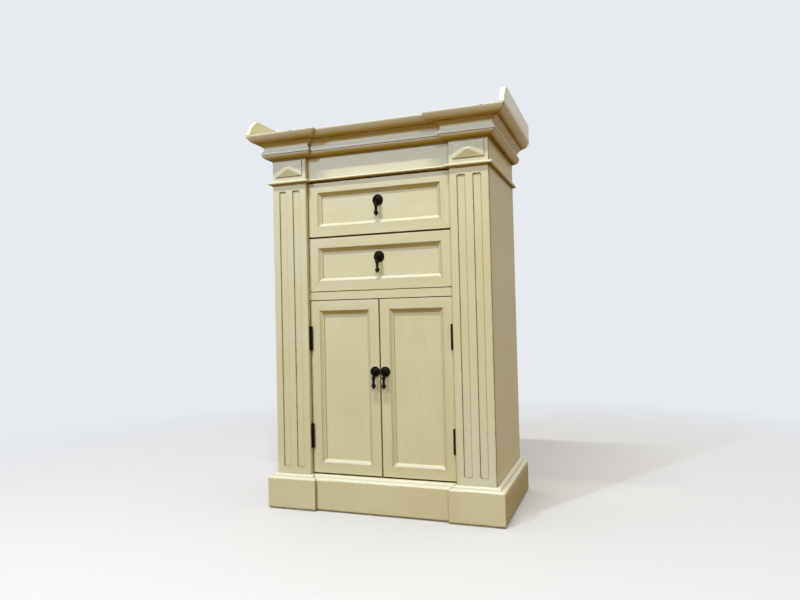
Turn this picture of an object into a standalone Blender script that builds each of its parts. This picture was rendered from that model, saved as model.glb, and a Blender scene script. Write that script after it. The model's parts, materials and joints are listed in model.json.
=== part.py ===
"""A small painted cupboard: two drawers over a pair of doors, between fluted pilasters, under a stepped cornice.

Metres, +Z up. X runs across the front, the front faces -Y, and the origin is at the middle of the footprint,
on the floor.
"""
import math

import bmesh
import bpy
from mathutils import Matrix, Vector

# Case, across and deep
body_width = 0.600            # over the outer sides of the pilasters
body_depth = 0.342            # from the pilasters' faces to the back
pilaster_width = 0.100
pilaster_depth = 0.036
front_recess = 0.0135         # doors, drawers and frieze lie this far behind the pilasters
side_thickness = 0.018
board_thickness = 0.018
back_thickness = 0.006
frieze_thickness = 0.020

# Case, from the floor up
plinth_height = 0.080         # plain face of the plinth
plinth_moulding_height = 0.013
door_opening_height = 0.4645
rail_height = 0.0215
lower_drawer_height = 0.1465
upper_drawer_height = 0.1507
bead_height = 0.008
frieze_height = 0.0588
cornice_height = 0.064
gallery_height = 0.048

# Mouldings
plinth_front_projection = 0.016
plinth_side_projection = 0.022
plinth_return_projection = 0.0184
plinth_center_projection = 0.0202
bead_projection = 0.0097
cornice_projection = 0.0511
gallery_thickness = 0.016
gallery_round_length = 0.041  # the quarter ellipse at a side board's front end

# Flutes and the tablets over them
flutes_per_pilaster = 2
flute_width = 0.0195
flute_depth = 0.003
flute_corner_radius = 0.005
flute_end_below = 0.018       # plain wood between the plinth moulding and the flutes
flute_end_above = 0.018       # plain wood between the flutes and the bead
tablet_side_border = 0.0105
tablet_border_below = 0.0095  # from the bead
tablet_border_above = 0.0073  # from the cornice
tablet_depth = 0.0045
tablet_groove = 0.0006

# Door and drawer fronts
front_thickness = 0.020
front_gap = 0.0015            # round a door or a drawer front
meeting_gap = 0.0016          # between the two doors
frame_width = 0.0265          # flat part of a frame's members
moulding_width = 0.0092
moulding_depth = 0.0075
moulding_fillet = 0.001
panel_thickness = 0.006
panel_lap = 0.008             # of the panel behind the frame

# Drawer boxes and runners
drawer_side_thickness = 0.012
drawer_back_thickness = 0.012
drawer_bottom_thickness = 0.005
drawer_bottom_rise = 0.008
drawer_back_clearance = 0.0262
drawer_side_clearance = 0.0035
drawer_top_clearance = 0.020
runner_thickness = 0.012
runner_reach = 0.016          # of a ledge from the guide board, under a drawer's side
runner_guide_height = 0.032   # of the guide board over the upper ledge's foot
runner_guide_thickness = 0.012
running_gap = 0.0006

# Shelf and door catch
shelf_thickness = 0.016
shelf_rise = 0.222            # over the cupboard's floor
shelf_front_clearance = 0.012
shelf_housing = 0.006         # depth of the groove in each side panel
catch_width = 0.046
catch_height = 0.012
catch_length = 0.016
catch_round = 0.0015

# Hinges
hinge_length = 0.064
hinge_from_end = 0.102        # middle of a hinge, from the door opening's top or bottom
knuckle_radius = 0.0038
knuckle_gap = 0.0003
hinge_pin_radius = 0.0015
hinge_bore_clearance = 0.0003
leaf_thickness = 0.0008
leaf_back_inset = 0.002       # the leaf stops this far short of the door's back
leaf_show = 0.0085            # of the case leaf, in front of the door's face
leaf_pocket = 0.0003
case_tab_half = 0.0010        # half the thickness of the tab between a case leaf and its knuckle
case_tab_lap = 0.0011         # how far that tab runs into the knuckle

# Drop pulls
rose_radius = 0.0135
rose_height = 0.0064
rose_rim_width = 0.0022
rose_rim_height = 0.0026
rose_groove = 0.0006
post_radius = 0.0034
pivot_height = 0.0145         # the drop's pin, in front of the wood
post_beyond_pivot = 0.0030
slot_half_width = 0.0013
slot_clearance = 0.0004       # round the drop's eye
pull_pin_radius = 0.0009
pin_from_post_side = 0.0008
eye_radius = 0.0023
eye_bore_radius = 0.0012
eye_half_thickness = 0.0010
shank_half_depth = 0.0010
shank_length = 0.0054         # from the pin into the drop's neck
neck_radius = 0.0023
neck_from_pin = 0.0046
collar_radius = 0.0052
collar_from_pin = 0.0152
collar_height = 0.0050
finial_radius = 0.0054
finial_height = 0.0135
drop_length = 0.0445
pull_rise = 0.015             # of a drawer pull over the drawer's middle
door_pull_height = 0.2743     # over the door opening's bottom

# Clearances
seat_gap = 0.0003
mitre_gap = 0.0004
round_steps = 24
small_steps = 16
cut_over = 0.002              # how far a cutter runs past the wood

# Places that follow from the sizes
half_body = body_width / 2
half_opening = half_body - pilaster_width
back_y = (body_depth + seat_gap + cornice_projection) / 2
face_y = back_y - body_depth
recess_y = face_y + front_recess
front_back_y = recess_y + front_thickness
pilaster_back_y = face_y + pilaster_depth
panel_depth = moulding_depth + moulding_fillet
side_inner_x = half_body - side_thickness
back_panel_y = back_y - back_thickness

floor_z = plinth_height + plinth_moulding_height
door_top_z = floor_z + door_opening_height
lower_drawer_z = door_top_z + rail_height
upper_drawer_z = lower_drawer_z + lower_drawer_height
bead_z = upper_drawer_z + upper_drawer_height
frieze_z = bead_z + bead_height
cornice_z = frieze_z + frieze_height
top_z = cornice_z + cornice_height
top_board_z = top_z - board_thickness

hinge_x = half_opening - seat_gap - knuckle_radius
hinge_y = recess_y - seat_gap - knuckle_radius

# Sections, in shares of the moulding's own projection and height, from its foot up
cornice_section = [
    (0.000, 0.000), (0.157, 0.019), (0.274, 0.067), (0.362, 0.131), (0.405, 0.200), (0.384, 0.216),
    (0.419, 0.234), (0.415, 0.305), (0.376, 0.372), (0.325, 0.430), (0.305, 0.477), (0.325, 0.531),
    (0.384, 0.591), (0.466, 0.644), (0.558, 0.678), (0.558, 0.697), (0.665, 0.697), (0.773, 0.728),
    (0.865, 0.791), (0.939, 0.872), (0.986, 0.938), (1.000, 0.981), (0.988, 1.000), (0.000, 1.000),
]
plinth_moulding_section = [
    (1.00, 0.000), (0.90, 0.215), (0.74, 0.400), (0.58, 0.492), (0.54, 0.462), (0.48, 0.477),
    (0.46, 0.646), (0.36, 0.815), (0.20, 0.938), (0.00, 1.000),
]
# A pull's finial, in shares of its own radius and height, from its neck down to its tip
finial_section = [
    (0.43, 1.00), (0.74, 0.78), (1.00, 0.57), (0.93, 0.42), (0.52, 0.26), (0.33, 0.11), (0.17, 0.04), (0.00, 0.00),
]

paint_color = (0.665, 0.630, 0.415, 1.0)


def clear_scene():
    for obj in list(bpy.data.objects):
        bpy.data.objects.remove(obj, do_unlink=True)


def new_collection(name):
    collection = bpy.data.collections.new(name)
    bpy.context.scene.collection.children.link(collection)
    return collection


clear_scene()
cabinet = new_collection("painted_cabinet")
cutters = new_collection("cutters")


def move_to(obj, collection):
    for owner in list(obj.users_collection):
        owner.objects.unlink(obj)
    collection.objects.link(obj)


def new_material(name, color, roughness, metallic=0.0):
    material = bpy.data.materials.new(name)
    material.use_nodes = True
    shader = material.node_tree.nodes["Principled BSDF"]
    shader.inputs["Base Color"].default_value = color
    shader.inputs["Roughness"].default_value = roughness
    shader.inputs["Metallic"].default_value = metallic
    material.diffuse_color = color
    return material


def finish(obj, name, material, smooth=False):
    """Names a piece, gives it its own material and puts it in the cabinet's collection."""
    obj.name = name
    obj.data.name = name
    obj.data.materials.clear()
    color, roughness, metallic = material
    obj.data.materials.append(new_material(name, color, roughness, metallic))
    if smooth:
        obj.data.shade_smooth()
        obj.data.set_sharp_from_angle(angle=math.radians(35))
    move_to(obj, cabinet)
    return obj


paint = (paint_color, 0.38, 0.0)
bare_wood = ((0.42, 0.27, 0.14, 1.0), 0.65, 0.0)
plywood = ((0.50, 0.35, 0.20, 1.0), 0.70, 0.0)
dark_bronze = ((0.022, 0.018, 0.014, 1.0), 0.38, 0.85)
black_iron = ((0.014, 0.014, 0.014, 1.0), 0.45, 0.80)
magnet_brown = ((0.10, 0.055, 0.03, 1.0), 0.50, 0.0)


def hide_cutter(obj, name):
    obj.name = name
    obj.hide_render = True
    obj.display_type = "WIRE"
    move_to(obj, cutters)
    return obj


def raw_box(low, high):
    """A box from its lowest corner to its highest."""
    middle = [(a + b) / 2 for a, b in zip(low, high)]
    bpy.ops.mesh.primitive_cube_add(size=1, location=middle)
    obj = bpy.context.active_object
    obj.scale = [b - a for a, b in zip(low, high)]
    bpy.ops.object.transform_apply(location=False, rotation=False, scale=True)
    return obj


def box(name, low, high, material):
    return finish(raw_box(low, high), name, material)


def raw_cylinder(radius, start, end, steps=small_steps):
    """A cylinder between two points."""
    start, end = Vector(start), Vector(end)
    along = end - start
    bpy.ops.mesh.primitive_cylinder_add(vertices=steps, radius=radius, depth=along.length)
    obj = bpy.context.active_object
    obj.rotation_euler = along.to_track_quat("Z", "Y").to_euler()
    obj.location = (start + end) / 2
    return obj


def raw_outline(points, low, high, rotation=(0, 0, 0)):
    """A flat outline made as thick as low to high, then turned; it becomes a mesh with welded caps."""
    curve = bpy.data.curves.new("outline", "CURVE")
    curve.dimensions = "2D"
    curve.fill_mode = "BOTH"
    curve.extrude = (high - low) / 2
    spline = curve.splines.new("POLY")
    spline.points.add(len(points) - 1)
    for point, place in zip(spline.points, points):
        point.co = (place[0], place[1], 0, 1)
    spline.use_cyclic_u = True
    flat = bpy.data.objects.new("outline", curve)
    bpy.context.scene.collection.objects.link(flat)
    bpy.context.view_layer.update()
    evaluated = flat.evaluated_get(bpy.context.evaluated_depsgraph_get())
    mesh = bpy.data.meshes.new_from_object(evaluated)
    bm = bmesh.new()
    bm.from_mesh(mesh)
    bmesh.ops.remove_doubles(bm, verts=bm.verts, dist=0.00001)
    bmesh.ops.translate(bm, verts=bm.verts, vec=(0, 0, (low + high) / 2))
    bmesh.ops.recalc_face_normals(bm, faces=bm.faces)
    bm.to_mesh(mesh)
    bm.free()
    bpy.data.objects.remove(flat, do_unlink=True)
    obj = bpy.data.objects.new("outline", mesh)
    bpy.context.scene.collection.objects.link(obj)
    obj.rotation_euler = rotation
    return obj


def raw_turned(profile, steps=round_steps):
    """A turned piece: radius and height pairs from the top down, spun round Z."""
    mesh = bpy.data.meshes.new("turned")
    edges = [(i, i + 1) for i in range(len(profile) - 1)]
    mesh.from_pydata([(radius, 0, height) for radius, height in profile], edges, [])
    obj = bpy.data.objects.new("turned", mesh)
    bpy.context.scene.collection.objects.link(obj)
    screw = obj.modifiers.new("Screw", "SCREW")
    screw.steps = steps
    screw.render_steps = steps
    screw.use_merge_vertices = True
    screw.merge_threshold = 0.00005
    bpy.context.view_layer.update()
    evaluated = obj.evaluated_get(bpy.context.evaluated_depsgraph_get())
    turned = bpy.data.meshes.new_from_object(evaluated)
    obj.modifiers.clear()
    obj.data = turned
    bpy.data.meshes.remove(mesh)
    return obj


def boolean(obj, tool, operation="DIFFERENCE"):
    modifier = obj.modifiers.new(operation.title() + " " + tool.name, "BOOLEAN")
    modifier.operation = operation
    modifier.object = tool
    modifier.solver = "EXACT"


def cut(obj, tool):
    hide_cutter(tool, obj.name + "_cut")
    boolean(obj, tool)


def join(obj, tool):
    hide_cutter(tool, obj.name + "_add")
    boolean(obj, tool, "UNION")


def welded(parts, bores=()):
    """One mesh out of overlapping solids, with the bores cut through it."""
    first = parts[0]
    for part in parts[1:]:
        boolean(first, part, "UNION")
    for bore in bores:
        boolean(first, bore)
    bpy.context.view_layer.update()
    evaluated = first.evaluated_get(bpy.context.evaluated_depsgraph_get())
    mesh = bpy.data.meshes.new_from_object(evaluated)
    mesh.transform(first.matrix_world)
    for part in parts + list(bores):
        bpy.data.objects.remove(part, do_unlink=True)
    obj = bpy.data.objects.new("welded", mesh)
    bpy.context.scene.collection.objects.link(obj)
    return obj


def new_axis(name, location):
    """An empty on a moving body's axis, which carries that body's pieces."""
    empty = bpy.data.objects.new(name, None)
    empty.empty_display_size = 0.03
    empty.location = location
    cabinet.objects.link(empty)
    return empty


def ride(empty, pieces):
    for piece in pieces:
        piece.parent = empty
        piece.matrix_parent_inverse = Matrix.Translation(empty.location).inverted()


def sweep(name, profile, stations, material):
    """Carries a moulding's section along its run.

    A station is a corner (x, y) and how far a unit of projection moves the section there in x and in y, so that
    two runs that meet share the mitre's plane.
    """
    def ring(station):
        x, y, along_x, along_y = station
        return [Vector((x + along_x * out, y + along_y * out, z)) for out, z in profile]

    bm = bmesh.new()
    places = ring(stations[0])
    face = bm.faces.new([bm.verts.new(place) for place in places])
    for station in stations[1:]:
        made = bmesh.ops.extrude_face_region(bm, geom=[face])["geom"]
        if station != stations[1]:
            bm.faces.remove(face)
        face = next(item for item in made if isinstance(item, bmesh.types.BMFace))
        following = ring(station)
        for vert in face.verts:
            nearest = min(range(len(places)), key=lambda i: (places[i] - vert.co).length)
            vert.co = following[nearest]
        places = following
    bmesh.ops.recalc_face_normals(bm, faces=bm.faces)
    mesh = bpy.data.meshes.new(name)
    bm.to_mesh(mesh)
    bm.free()
    obj = bpy.data.objects.new(name, mesh)
    bpy.context.scene.collection.objects.link(obj)
    return finish(obj, name, material)


def sized(section, projection, z, height):
    """A section in shares, made as wide as projection and as high as height above z."""
    return [(out * projection, z + up * height) for out, up in section]


def belt_corners(side, front, inner, center):
    """The corners that a moulding takes round the front; each of its four kinds of run can project unlike."""
    outer_x = half_body + seat_gap
    inner_x = half_opening - seat_gap
    front_y = face_y - seat_gap
    center_y = recess_y - seat_gap
    return {
        "back": (outer_x, back_y, side, 0.0),
        "corner": (outer_x, front_y, side, -front),
        "break": (inner_x, front_y, -inner, -front),
        "inside": (inner_x, center_y, -inner, -center),
    }


def mirrored(stations, sign):
    return [(sign * x, y, sign * along_x, along_y) for x, y, along_x, along_y in stations]


def shifted(station, dx=0.0, dy=0.0):
    x, y, along_x, along_y = station
    return (x + dx, y + dy, along_x, along_y)


sides = (("left", -1), ("right", 1))


def make_case():
    for side, sign in sides:
        x_pair = sorted((sign * half_body, sign * side_inner_x))
        panel = box(side + "_side_panel", (x_pair[0], pilaster_back_y + seat_gap, 0.0),
                    (x_pair[1], back_y, top_board_z - seat_gap), paint)
        x_cut = sorted((sign * (side_inner_x - cut_over), sign * (side_inner_x + shelf_housing)))
        cut(panel, raw_box((x_cut[0], shelf_start_y() - seat_gap, shelf_z() - seat_gap),
                           (x_cut[1], back_panel_y, shelf_z() + shelf_thickness + seat_gap)))
    inner_x = side_inner_x - seat_gap
    box("back_panel", (-inner_x, back_panel_y, floor_z - board_thickness),
        (inner_x, back_y - seat_gap, top_board_z - seat_gap), plywood)
    make_stepped_board("cupboard_floor", inner_x, half_opening - seat_gap, recess_y + seat_gap,
                       pilaster_back_y + seat_gap, back_panel_y - seat_gap,
                       floor_z - board_thickness, floor_z - seat_gap, bare_wood)
    box("dust_board", (-inner_x, pilaster_back_y + seat_gap, lower_drawer_z - board_thickness),
        (inner_x, back_panel_y - seat_gap, lower_drawer_z), bare_wood)
    make_stepped_board("top_board", half_body, half_opening, recess_y, None, back_y, top_board_z, top_z, paint)


def make_stepped_board(name, wide_x, narrow_x, front_y, step_y, end_y, low, high, material):
    """A board whose front steps. Without step_y it is the top, whose ends come forward to the pilasters."""
    if step_y is None:
        corners = [(narrow_x, front_y), (narrow_x, face_y), (wide_x, face_y), (wide_x, end_y)]
    else:
        corners = [(narrow_x, front_y), (narrow_x, step_y), (wide_x, step_y), (wide_x, end_y)]
    outline = corners + [(-x, y) for x, y in reversed(corners)]
    return finish(raw_outline(outline, low, high), name, material)


def rounded_bar(low, high, radius):
    """A box whose edges along Y are rounded."""
    obj = raw_box(low, high)
    bm = bmesh.new()
    bm.from_mesh(obj.data)
    along = [edge for edge in bm.edges
             if abs((edge.verts[0].co - edge.verts[1].co).normalized().y) > 0.9]
    bmesh.ops.bevel(bm, geom=along, offset=radius, segments=3, affect="EDGES", profile=0.5)
    bm.to_mesh(obj.data)
    bm.free()
    return obj


def make_pilaster(side, sign):
    """A post with flat-bottomed flutes, a tablet over them, and pockets for its hinges' case leaves."""
    x_pair = sorted((sign * half_body, sign * half_opening))
    post = box(side + "_pilaster", (x_pair[0], face_y, 0.0),
               (x_pair[1], pilaster_back_y, top_board_z - seat_gap), paint)
    land = (pilaster_width - flutes_per_pilaster * flute_width) / (flutes_per_pilaster + 1)
    for i in range(flutes_per_pilaster):
        start = x_pair[0] + land + i * (flute_width + land)
        cut(post, rounded_bar((start, face_y - cut_over, floor_z + flute_end_below),
                              (start + flute_width, face_y + flute_depth, bead_z - flute_end_above),
                              flute_corner_radius))
    for z in hinge_heights():
        x_cut = sorted((sign * (half_opening - cut_over), sign * (half_opening + leaf_thickness + leaf_pocket)))
        cut(post, raw_box((x_cut[0], recess_y - leaf_show - leaf_pocket, z - hinge_length / 2 - leaf_pocket),
                          (x_cut[1], leaf_back_y() + leaf_pocket, z + hinge_length / 2 + leaf_pocket)))
    sink_tablet(post, sum(x_pair) / 2)


def sink_tablet(post, middle_x):
    """Sinks a pocket in the post's head and leaves a low pyramid in it, whose point is level with the face."""
    low_z, high_z = frieze_z + tablet_border_below, cornice_z - tablet_border_above
    middle_z = (low_z + high_z) / 2
    half_x, half_z = pilaster_width / 2 - tablet_side_border, (high_z - low_z) / 2
    sunk_y = face_y + tablet_depth
    cut(post, raw_box((middle_x - half_x, face_y - cut_over, middle_z - half_z),
                      (middle_x + half_x, sunk_y, middle_z + half_z)))
    root_y = sunk_y + seat_gap
    bpy.ops.mesh.primitive_cone_add(vertices=4, radius1=math.sqrt(0.5), depth=1, rotation=(0, 0, math.pi / 4))
    pyramid = bpy.context.active_object
    bpy.ops.object.transform_apply(location=False, rotation=True, scale=False)
    slope = tablet_depth / (root_y - face_y)
    base_x = 2 * (half_x - tablet_groove) / slope
    base_z = 2 * (half_z - tablet_groove) / slope
    pyramid.scale = (base_x, base_z, root_y - face_y)
    pyramid.rotation_euler = (math.pi / 2, 0, 0)
    pyramid.location = (middle_x, (root_y + face_y) / 2, middle_z)
    join(post, pyramid)


def make_front_boards():
    half_x = half_opening - seat_gap
    box("frieze_board", (-half_x, recess_y, bead_z),
        (half_x, recess_y + frieze_thickness, top_board_z - seat_gap), paint)
    box("door_rail", (-half_x, recess_y, door_top_z), (half_x, pilaster_back_y, lower_drawer_z), paint)


def make_belts():
    """The three mouldings that go round the front and both sides, with their breaks at the pilasters."""
    corners = belt_corners(plinth_side_projection, plinth_front_projection,
                           plinth_return_projection, plinth_center_projection)
    moulding = sized(plinth_moulding_section, 1, plinth_height, plinth_moulding_height)
    make_belt("plinth", [(0, 0), (1, 0)] + moulding, corners)
    corners = belt_corners(1, 1, 1, 1)
    make_belt("bead", bead_section(), corners)
    cornice = sized(cornice_section, cornice_projection, cornice_z, cornice_height)
    for side, sign in sides:
        run = [corners["back"], shifted(corners["corner"], dy=mitre_gap)]
        sweep("cornice_" + side + "_side", cornice, mirrored(run, sign), paint)
        front = [corners["corner"], corners["break"], corners["inside"]]
        sweep("cornice_" + side + "_front", cornice, mirrored(front, sign), paint)
    sweep("cornice_center", cornice, center_stations(corners), paint)


def make_belt(name, profile, corners):
    """A moulding in three lengths: one at each side, glued up round the pilaster, and one between them."""
    stations = [corners["back"], corners["corner"], corners["break"], corners["inside"]]
    for side, sign in sides:
        sweep(name + "_" + side, profile, mirrored(stations, sign), paint)
    sweep(name + "_center", profile, center_stations(corners), paint)


def bead_section():
    """A half round on a short fillet."""
    points = [(0.0, bead_z)]
    radius = bead_height / 2
    for i in range(9):
        angle = -math.pi / 2 + math.pi * i / 8
        points.append((bead_projection - radius + radius * math.cos(angle),
                       bead_z + radius + radius * math.sin(angle)))
    points.append((0.0, bead_z + bead_height))
    return points


def center_stations(corners):
    right = shifted(corners["inside"], dx=-mitre_gap)
    return [mirrored([right], -1)[0], right]


def make_gallery():
    """Two side boards with round front ends, and a back board between them, on the top."""
    outer_x = half_body + seat_gap + cornice_projection
    foot_z = top_z + seat_gap
    head_z = foot_z + gallery_height
    front_y = face_y - seat_gap - cornice_projection
    outline = [(back_y, foot_z), (back_y, head_z)]
    steps = 12
    for i in range(steps + 1):
        angle = math.pi / 2 * i / steps
        outline.append((front_y + gallery_round_length * (1 - math.sin(angle)),
                        foot_z + gallery_height * math.cos(angle)))
    for side, sign in sides:
        x_pair = sorted((sign * outer_x, sign * (outer_x - gallery_thickness)))
        board = raw_outline(outline, x_pair[0], x_pair[1], (math.pi / 2, 0, math.pi / 2))
        finish(board, "gallery_" + side, paint)
    inner_x = outer_x - gallery_thickness - seat_gap
    box("gallery_back", (-inner_x, back_y - gallery_thickness, foot_z), (inner_x, back_y, head_z), paint)


def frame_with_panel(name, low, high, face):
    """A frame with a sloped inner moulding, and the flat panel that lies in its rebate from behind.

    low and high are the front's corners in x and z, and face is the y of its front.
    """
    frame = box(name + "_frame", (low[0], face, low[1]), (high[0], face + front_thickness, high[1]), paint)
    slope = moulding_width / moulding_depth
    inner = frame_width + moulding_width

    def edges(inset):
        return (low[0] + inset, low[1] + inset), (high[0] - inset, high[1] - inset)

    front_low, front_high = edges(frame_width - cut_over * slope)
    sight_low, sight_high = edges(inner)
    funnel = raw_box((front_low[0], face - cut_over, front_low[1]), (front_high[0], face + moulding_depth,
                                                                      front_high[1]))
    middle_x, middle_z = (low[0] + high[0]) / 2, (low[1] + high[1]) / 2
    narrow_x = (sight_high[0] - sight_low[0]) / (front_high[0] - front_low[0])
    narrow_z = (sight_high[1] - sight_low[1]) / (front_high[1] - front_low[1])
    deep = [vert for vert in funnel.data.vertices if vert.co.y > 0]
    for vert in deep:
        vert.co.x *= narrow_x
        vert.co.z *= narrow_z
    funnel.location.x, funnel.location.z = middle_x, middle_z
    cut(frame, funnel)
    cut(frame, raw_box((sight_low[0], face + moulding_depth / 2, sight_low[1]),
                       (sight_high[0], face + front_thickness + cut_over, sight_high[1])))
    rebate_low, rebate_high = edges(inner - panel_lap - seat_gap)
    cut(frame, raw_box((rebate_low[0], face + panel_depth, rebate_low[1]),
                       (rebate_high[0], face + front_thickness + cut_over, rebate_high[1])))
    panel_low, panel_high = edges(inner - panel_lap)
    panel_y = face + panel_depth + seat_gap
    panel = box(name + "_panel", (panel_low[0], panel_y, panel_low[1]),
                (panel_high[0], panel_y + panel_thickness, panel_high[1]), paint)
    return frame, panel


def make_rose(name, x, z, wood_y):
    """The turned rose of a pull, a dome in a rim, its slotted post and the pin that the drop hangs on."""
    dome_radius = rose_radius - rose_rim_width
    foot = rose_rim_height - rose_groove
    profile = []
    for i in range(7):
        angle = math.pi / 2 * i / 6
        profile.append((dome_radius * math.sin(angle), foot + (rose_height - foot) * math.cos(angle)))
    profile += [(dome_radius + rose_rim_width * 0.2, foot), (dome_radius + rose_rim_width * 0.3, rose_rim_height),
                (dome_radius + rose_rim_width * 0.8, rose_rim_height), (rose_radius, rose_rim_height * 0.6),
                (rose_radius, 0.0), (0.0, 0.0)]
    rose = finish(raw_turned(profile), name + "_rose", dark_bronze, smooth=True)
    rose.rotation_euler.x = math.pi / 2
    rose.location = (x, wood_y - seat_gap, z)
    pivot_y = wood_y - pivot_height
    tip_y = pivot_y - post_beyond_pivot
    join(rose, raw_cylinder(post_radius, (x, wood_y - rose_height / 2, z), (x, tip_y, z)))
    slot = eye_radius + slot_clearance
    cut(rose, raw_box((x - slot_half_width, tip_y - cut_over, z - 2 * post_radius),
                      (x + slot_half_width, pivot_y + slot, z + slot)))
    reach = post_radius - pin_from_post_side
    join(rose, raw_cylinder(pull_pin_radius, (x - reach, pivot_y, z), (x + reach, pivot_y, z), 12))
    return rose


def bulge(radius, middle_z, height, neck):
    """A bead on a turned rod, as points from the top down."""
    points = []
    for i in range(5):
        angle = math.pi * i / 4
        points.append((neck + (radius - neck) * math.sin(angle), middle_z + height / 2 * math.cos(angle)))
    return points


def make_drop(name, x, z, wood_y):
    """The drop of a pull: an eye, a shank with a collar, a rod and a pointed finial, hung on its pin."""
    pivot_y = wood_y - pivot_height
    profile = [(0.0, -neck_from_pin), (neck_radius * 0.7, -neck_from_pin - 0.0002),
               (neck_radius, -neck_from_pin - 0.0011), (neck_radius * 0.9, -collar_from_pin + collar_height)]
    profile += bulge(collar_radius, -collar_from_pin, collar_height, neck_radius)
    tip = -drop_length
    profile.append((neck_radius * 0.9, (tip + finial_height - collar_from_pin) / 2))
    profile += [(finial_radius * out, tip + finial_height * up) for out, up in finial_section]
    drop = finish(raw_turned(profile, small_steps), name + "_drop", dark_bronze, smooth=True)
    drop.location = (x, pivot_y, z)
    join(drop, raw_box((x - eye_half_thickness, pivot_y - shank_half_depth, z - shank_length),
                       (x + eye_half_thickness, pivot_y + shank_half_depth, z - eye_bore_radius)))
    join(drop, raw_cylinder(eye_radius, (x - eye_half_thickness, pivot_y, z),
                            (x + eye_half_thickness, pivot_y, z)))
    cut(drop, raw_cylinder(eye_bore_radius, (x - cut_over, pivot_y, z), (x + cut_over, pivot_y, z), 12))
    swing = new_axis(name + "_drop_axis", drop.location)
    ride(swing, [drop])
    return swing


def make_pull(name, x, z, wood_y):
    rose = make_rose(name, x, z, wood_y)
    swing = make_drop(name, x, z, wood_y)
    return [rose, swing]


def make_drawer(name, low_z, height):
    """A drawer: its framed front, a box of five pieces behind it and its pull."""
    half_x = half_opening - front_gap
    pieces = list(frame_with_panel(name, (-half_x, low_z + front_gap), (half_x, low_z + height - front_gap),
                                   recess_y))
    box_x = half_opening - drawer_side_clearance
    inner_x = box_x - drawer_side_thickness
    start_y = front_back_y + seat_gap
    end_y = back_panel_y - drawer_back_clearance
    box_z = low_z + seat_gap + runner_thickness + seat_gap
    head_z = low_z + height - drawer_top_clearance
    for side, sign in sides:
        x_pair = sorted((sign * box_x, sign * inner_x))
        pieces.append(box(name + "_" + side + "_side", (x_pair[0], start_y, box_z), (x_pair[1], end_y, head_z),
                          bare_wood))
    span = inner_x - seat_gap
    back_start = end_y - drawer_back_thickness
    pieces.append(box(name + "_back", (-span, back_start, box_z), (span, end_y, head_z), bare_wood))
    bottom_z = box_z + drawer_bottom_rise
    pieces.append(box(name + "_bottom", (-span, start_y, bottom_z),
                      (span, back_start - seat_gap, bottom_z + drawer_bottom_thickness), plywood))
    pull_z = low_z + height / 2 + pull_rise
    pieces += make_pull(name, 0.0, pull_z, recess_y + panel_depth + seat_gap)
    slide = new_axis(name + "_axis", (0.0, recess_y, low_z + height / 2))
    ride(slide, pieces)


def make_runners():
    """A guide board beside the drawers at each side, standing on the dust board, with a ledge for each drawer."""
    inner = half_opening - drawer_side_clearance + running_gap
    outer = inner + runner_guide_thickness
    ledge = inner - runner_reach
    low_foot = lower_drawer_z + seat_gap
    high_foot = upper_drawer_z + seat_gap
    high_ledge = high_foot + runner_thickness
    head = high_foot + runner_guide_height
    low_ledge = low_foot + runner_thickness
    corners = [(outer, low_foot), (outer, head), (inner, head), (inner, high_ledge), (ledge, high_ledge),
               (ledge, high_foot), (inner, high_foot), (inner, low_ledge), (ledge, low_ledge), (ledge, low_foot)]
    for side, sign in sides:
        outline = [(sign * x, z) for x, z in corners]
        board = raw_outline(outline, -(back_panel_y - seat_gap), -(pilaster_back_y + seat_gap),
                            (math.pi / 2, 0, 0))
        finish(board, side + "_runner_board", bare_wood)


def shelf_z():
    return floor_z + shelf_rise


def shelf_start_y():
    return front_back_y + shelf_front_clearance


def make_shelf():
    """The shelf, with its ends in the side panels' grooves."""
    half_x = side_inner_x + shelf_housing - seat_gap
    front = shelf_start_y()
    pilaster_y = pilaster_back_y + seat_gap
    box("cupboard_shelf", (-half_x, max(front, pilaster_y), shelf_z()),
        (half_x, back_panel_y - seat_gap, shelf_z() + shelf_thickness), bare_wood)


def make_catch():
    """A double magnetic catch under the door rail, behind the meeting stiles."""
    start_y = front_back_y + seat_gap
    catch = raw_box((-catch_width / 2, start_y, door_top_z - seat_gap - catch_height),
                    (catch_width / 2, start_y + catch_length, door_top_z - seat_gap))
    bevel = catch.modifiers.new("Round", "BEVEL")
    bevel.width = catch_round
    bevel.segments = 2
    finish(catch, "door_catch", magnet_brown)


def hinge_heights():
    return (floor_z + hinge_from_end, door_top_z - hinge_from_end)


def leaf_back_y():
    return front_back_y - leaf_back_inset


def case_leaf(sign, z):
    """A hinge's case half: the leaf on the pilaster, the two end knuckles and the pin through them."""
    low_z, high_z = z - hinge_length / 2, z + hinge_length / 2
    third = hinge_length / 3
    leaf_x = sorted((sign * half_opening, sign * (half_opening + leaf_thickness)))
    parts = [raw_box((leaf_x[0], recess_y - leaf_show, low_z), (leaf_x[1], leaf_back_y(), high_z))]
    tab_x = sorted((sign * (hinge_x + knuckle_radius - case_tab_lap), sign * (half_opening + leaf_thickness / 2)))
    x = sign * hinge_x
    for start, end in ((low_z, low_z + third), (high_z - third, high_z)):
        parts.append(raw_cylinder(knuckle_radius, (x, hinge_y, start), (x, hinge_y, end)))
        parts.append(raw_box((tab_x[0], hinge_y - case_tab_half, start),
                             (tab_x[1], hinge_y + case_tab_half, end)))
    parts.append(raw_cylinder(hinge_pin_radius, (x, hinge_y, low_z + third / 2), (x, hinge_y, high_z - third / 2),
                              12))
    return welded(parts)


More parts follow.
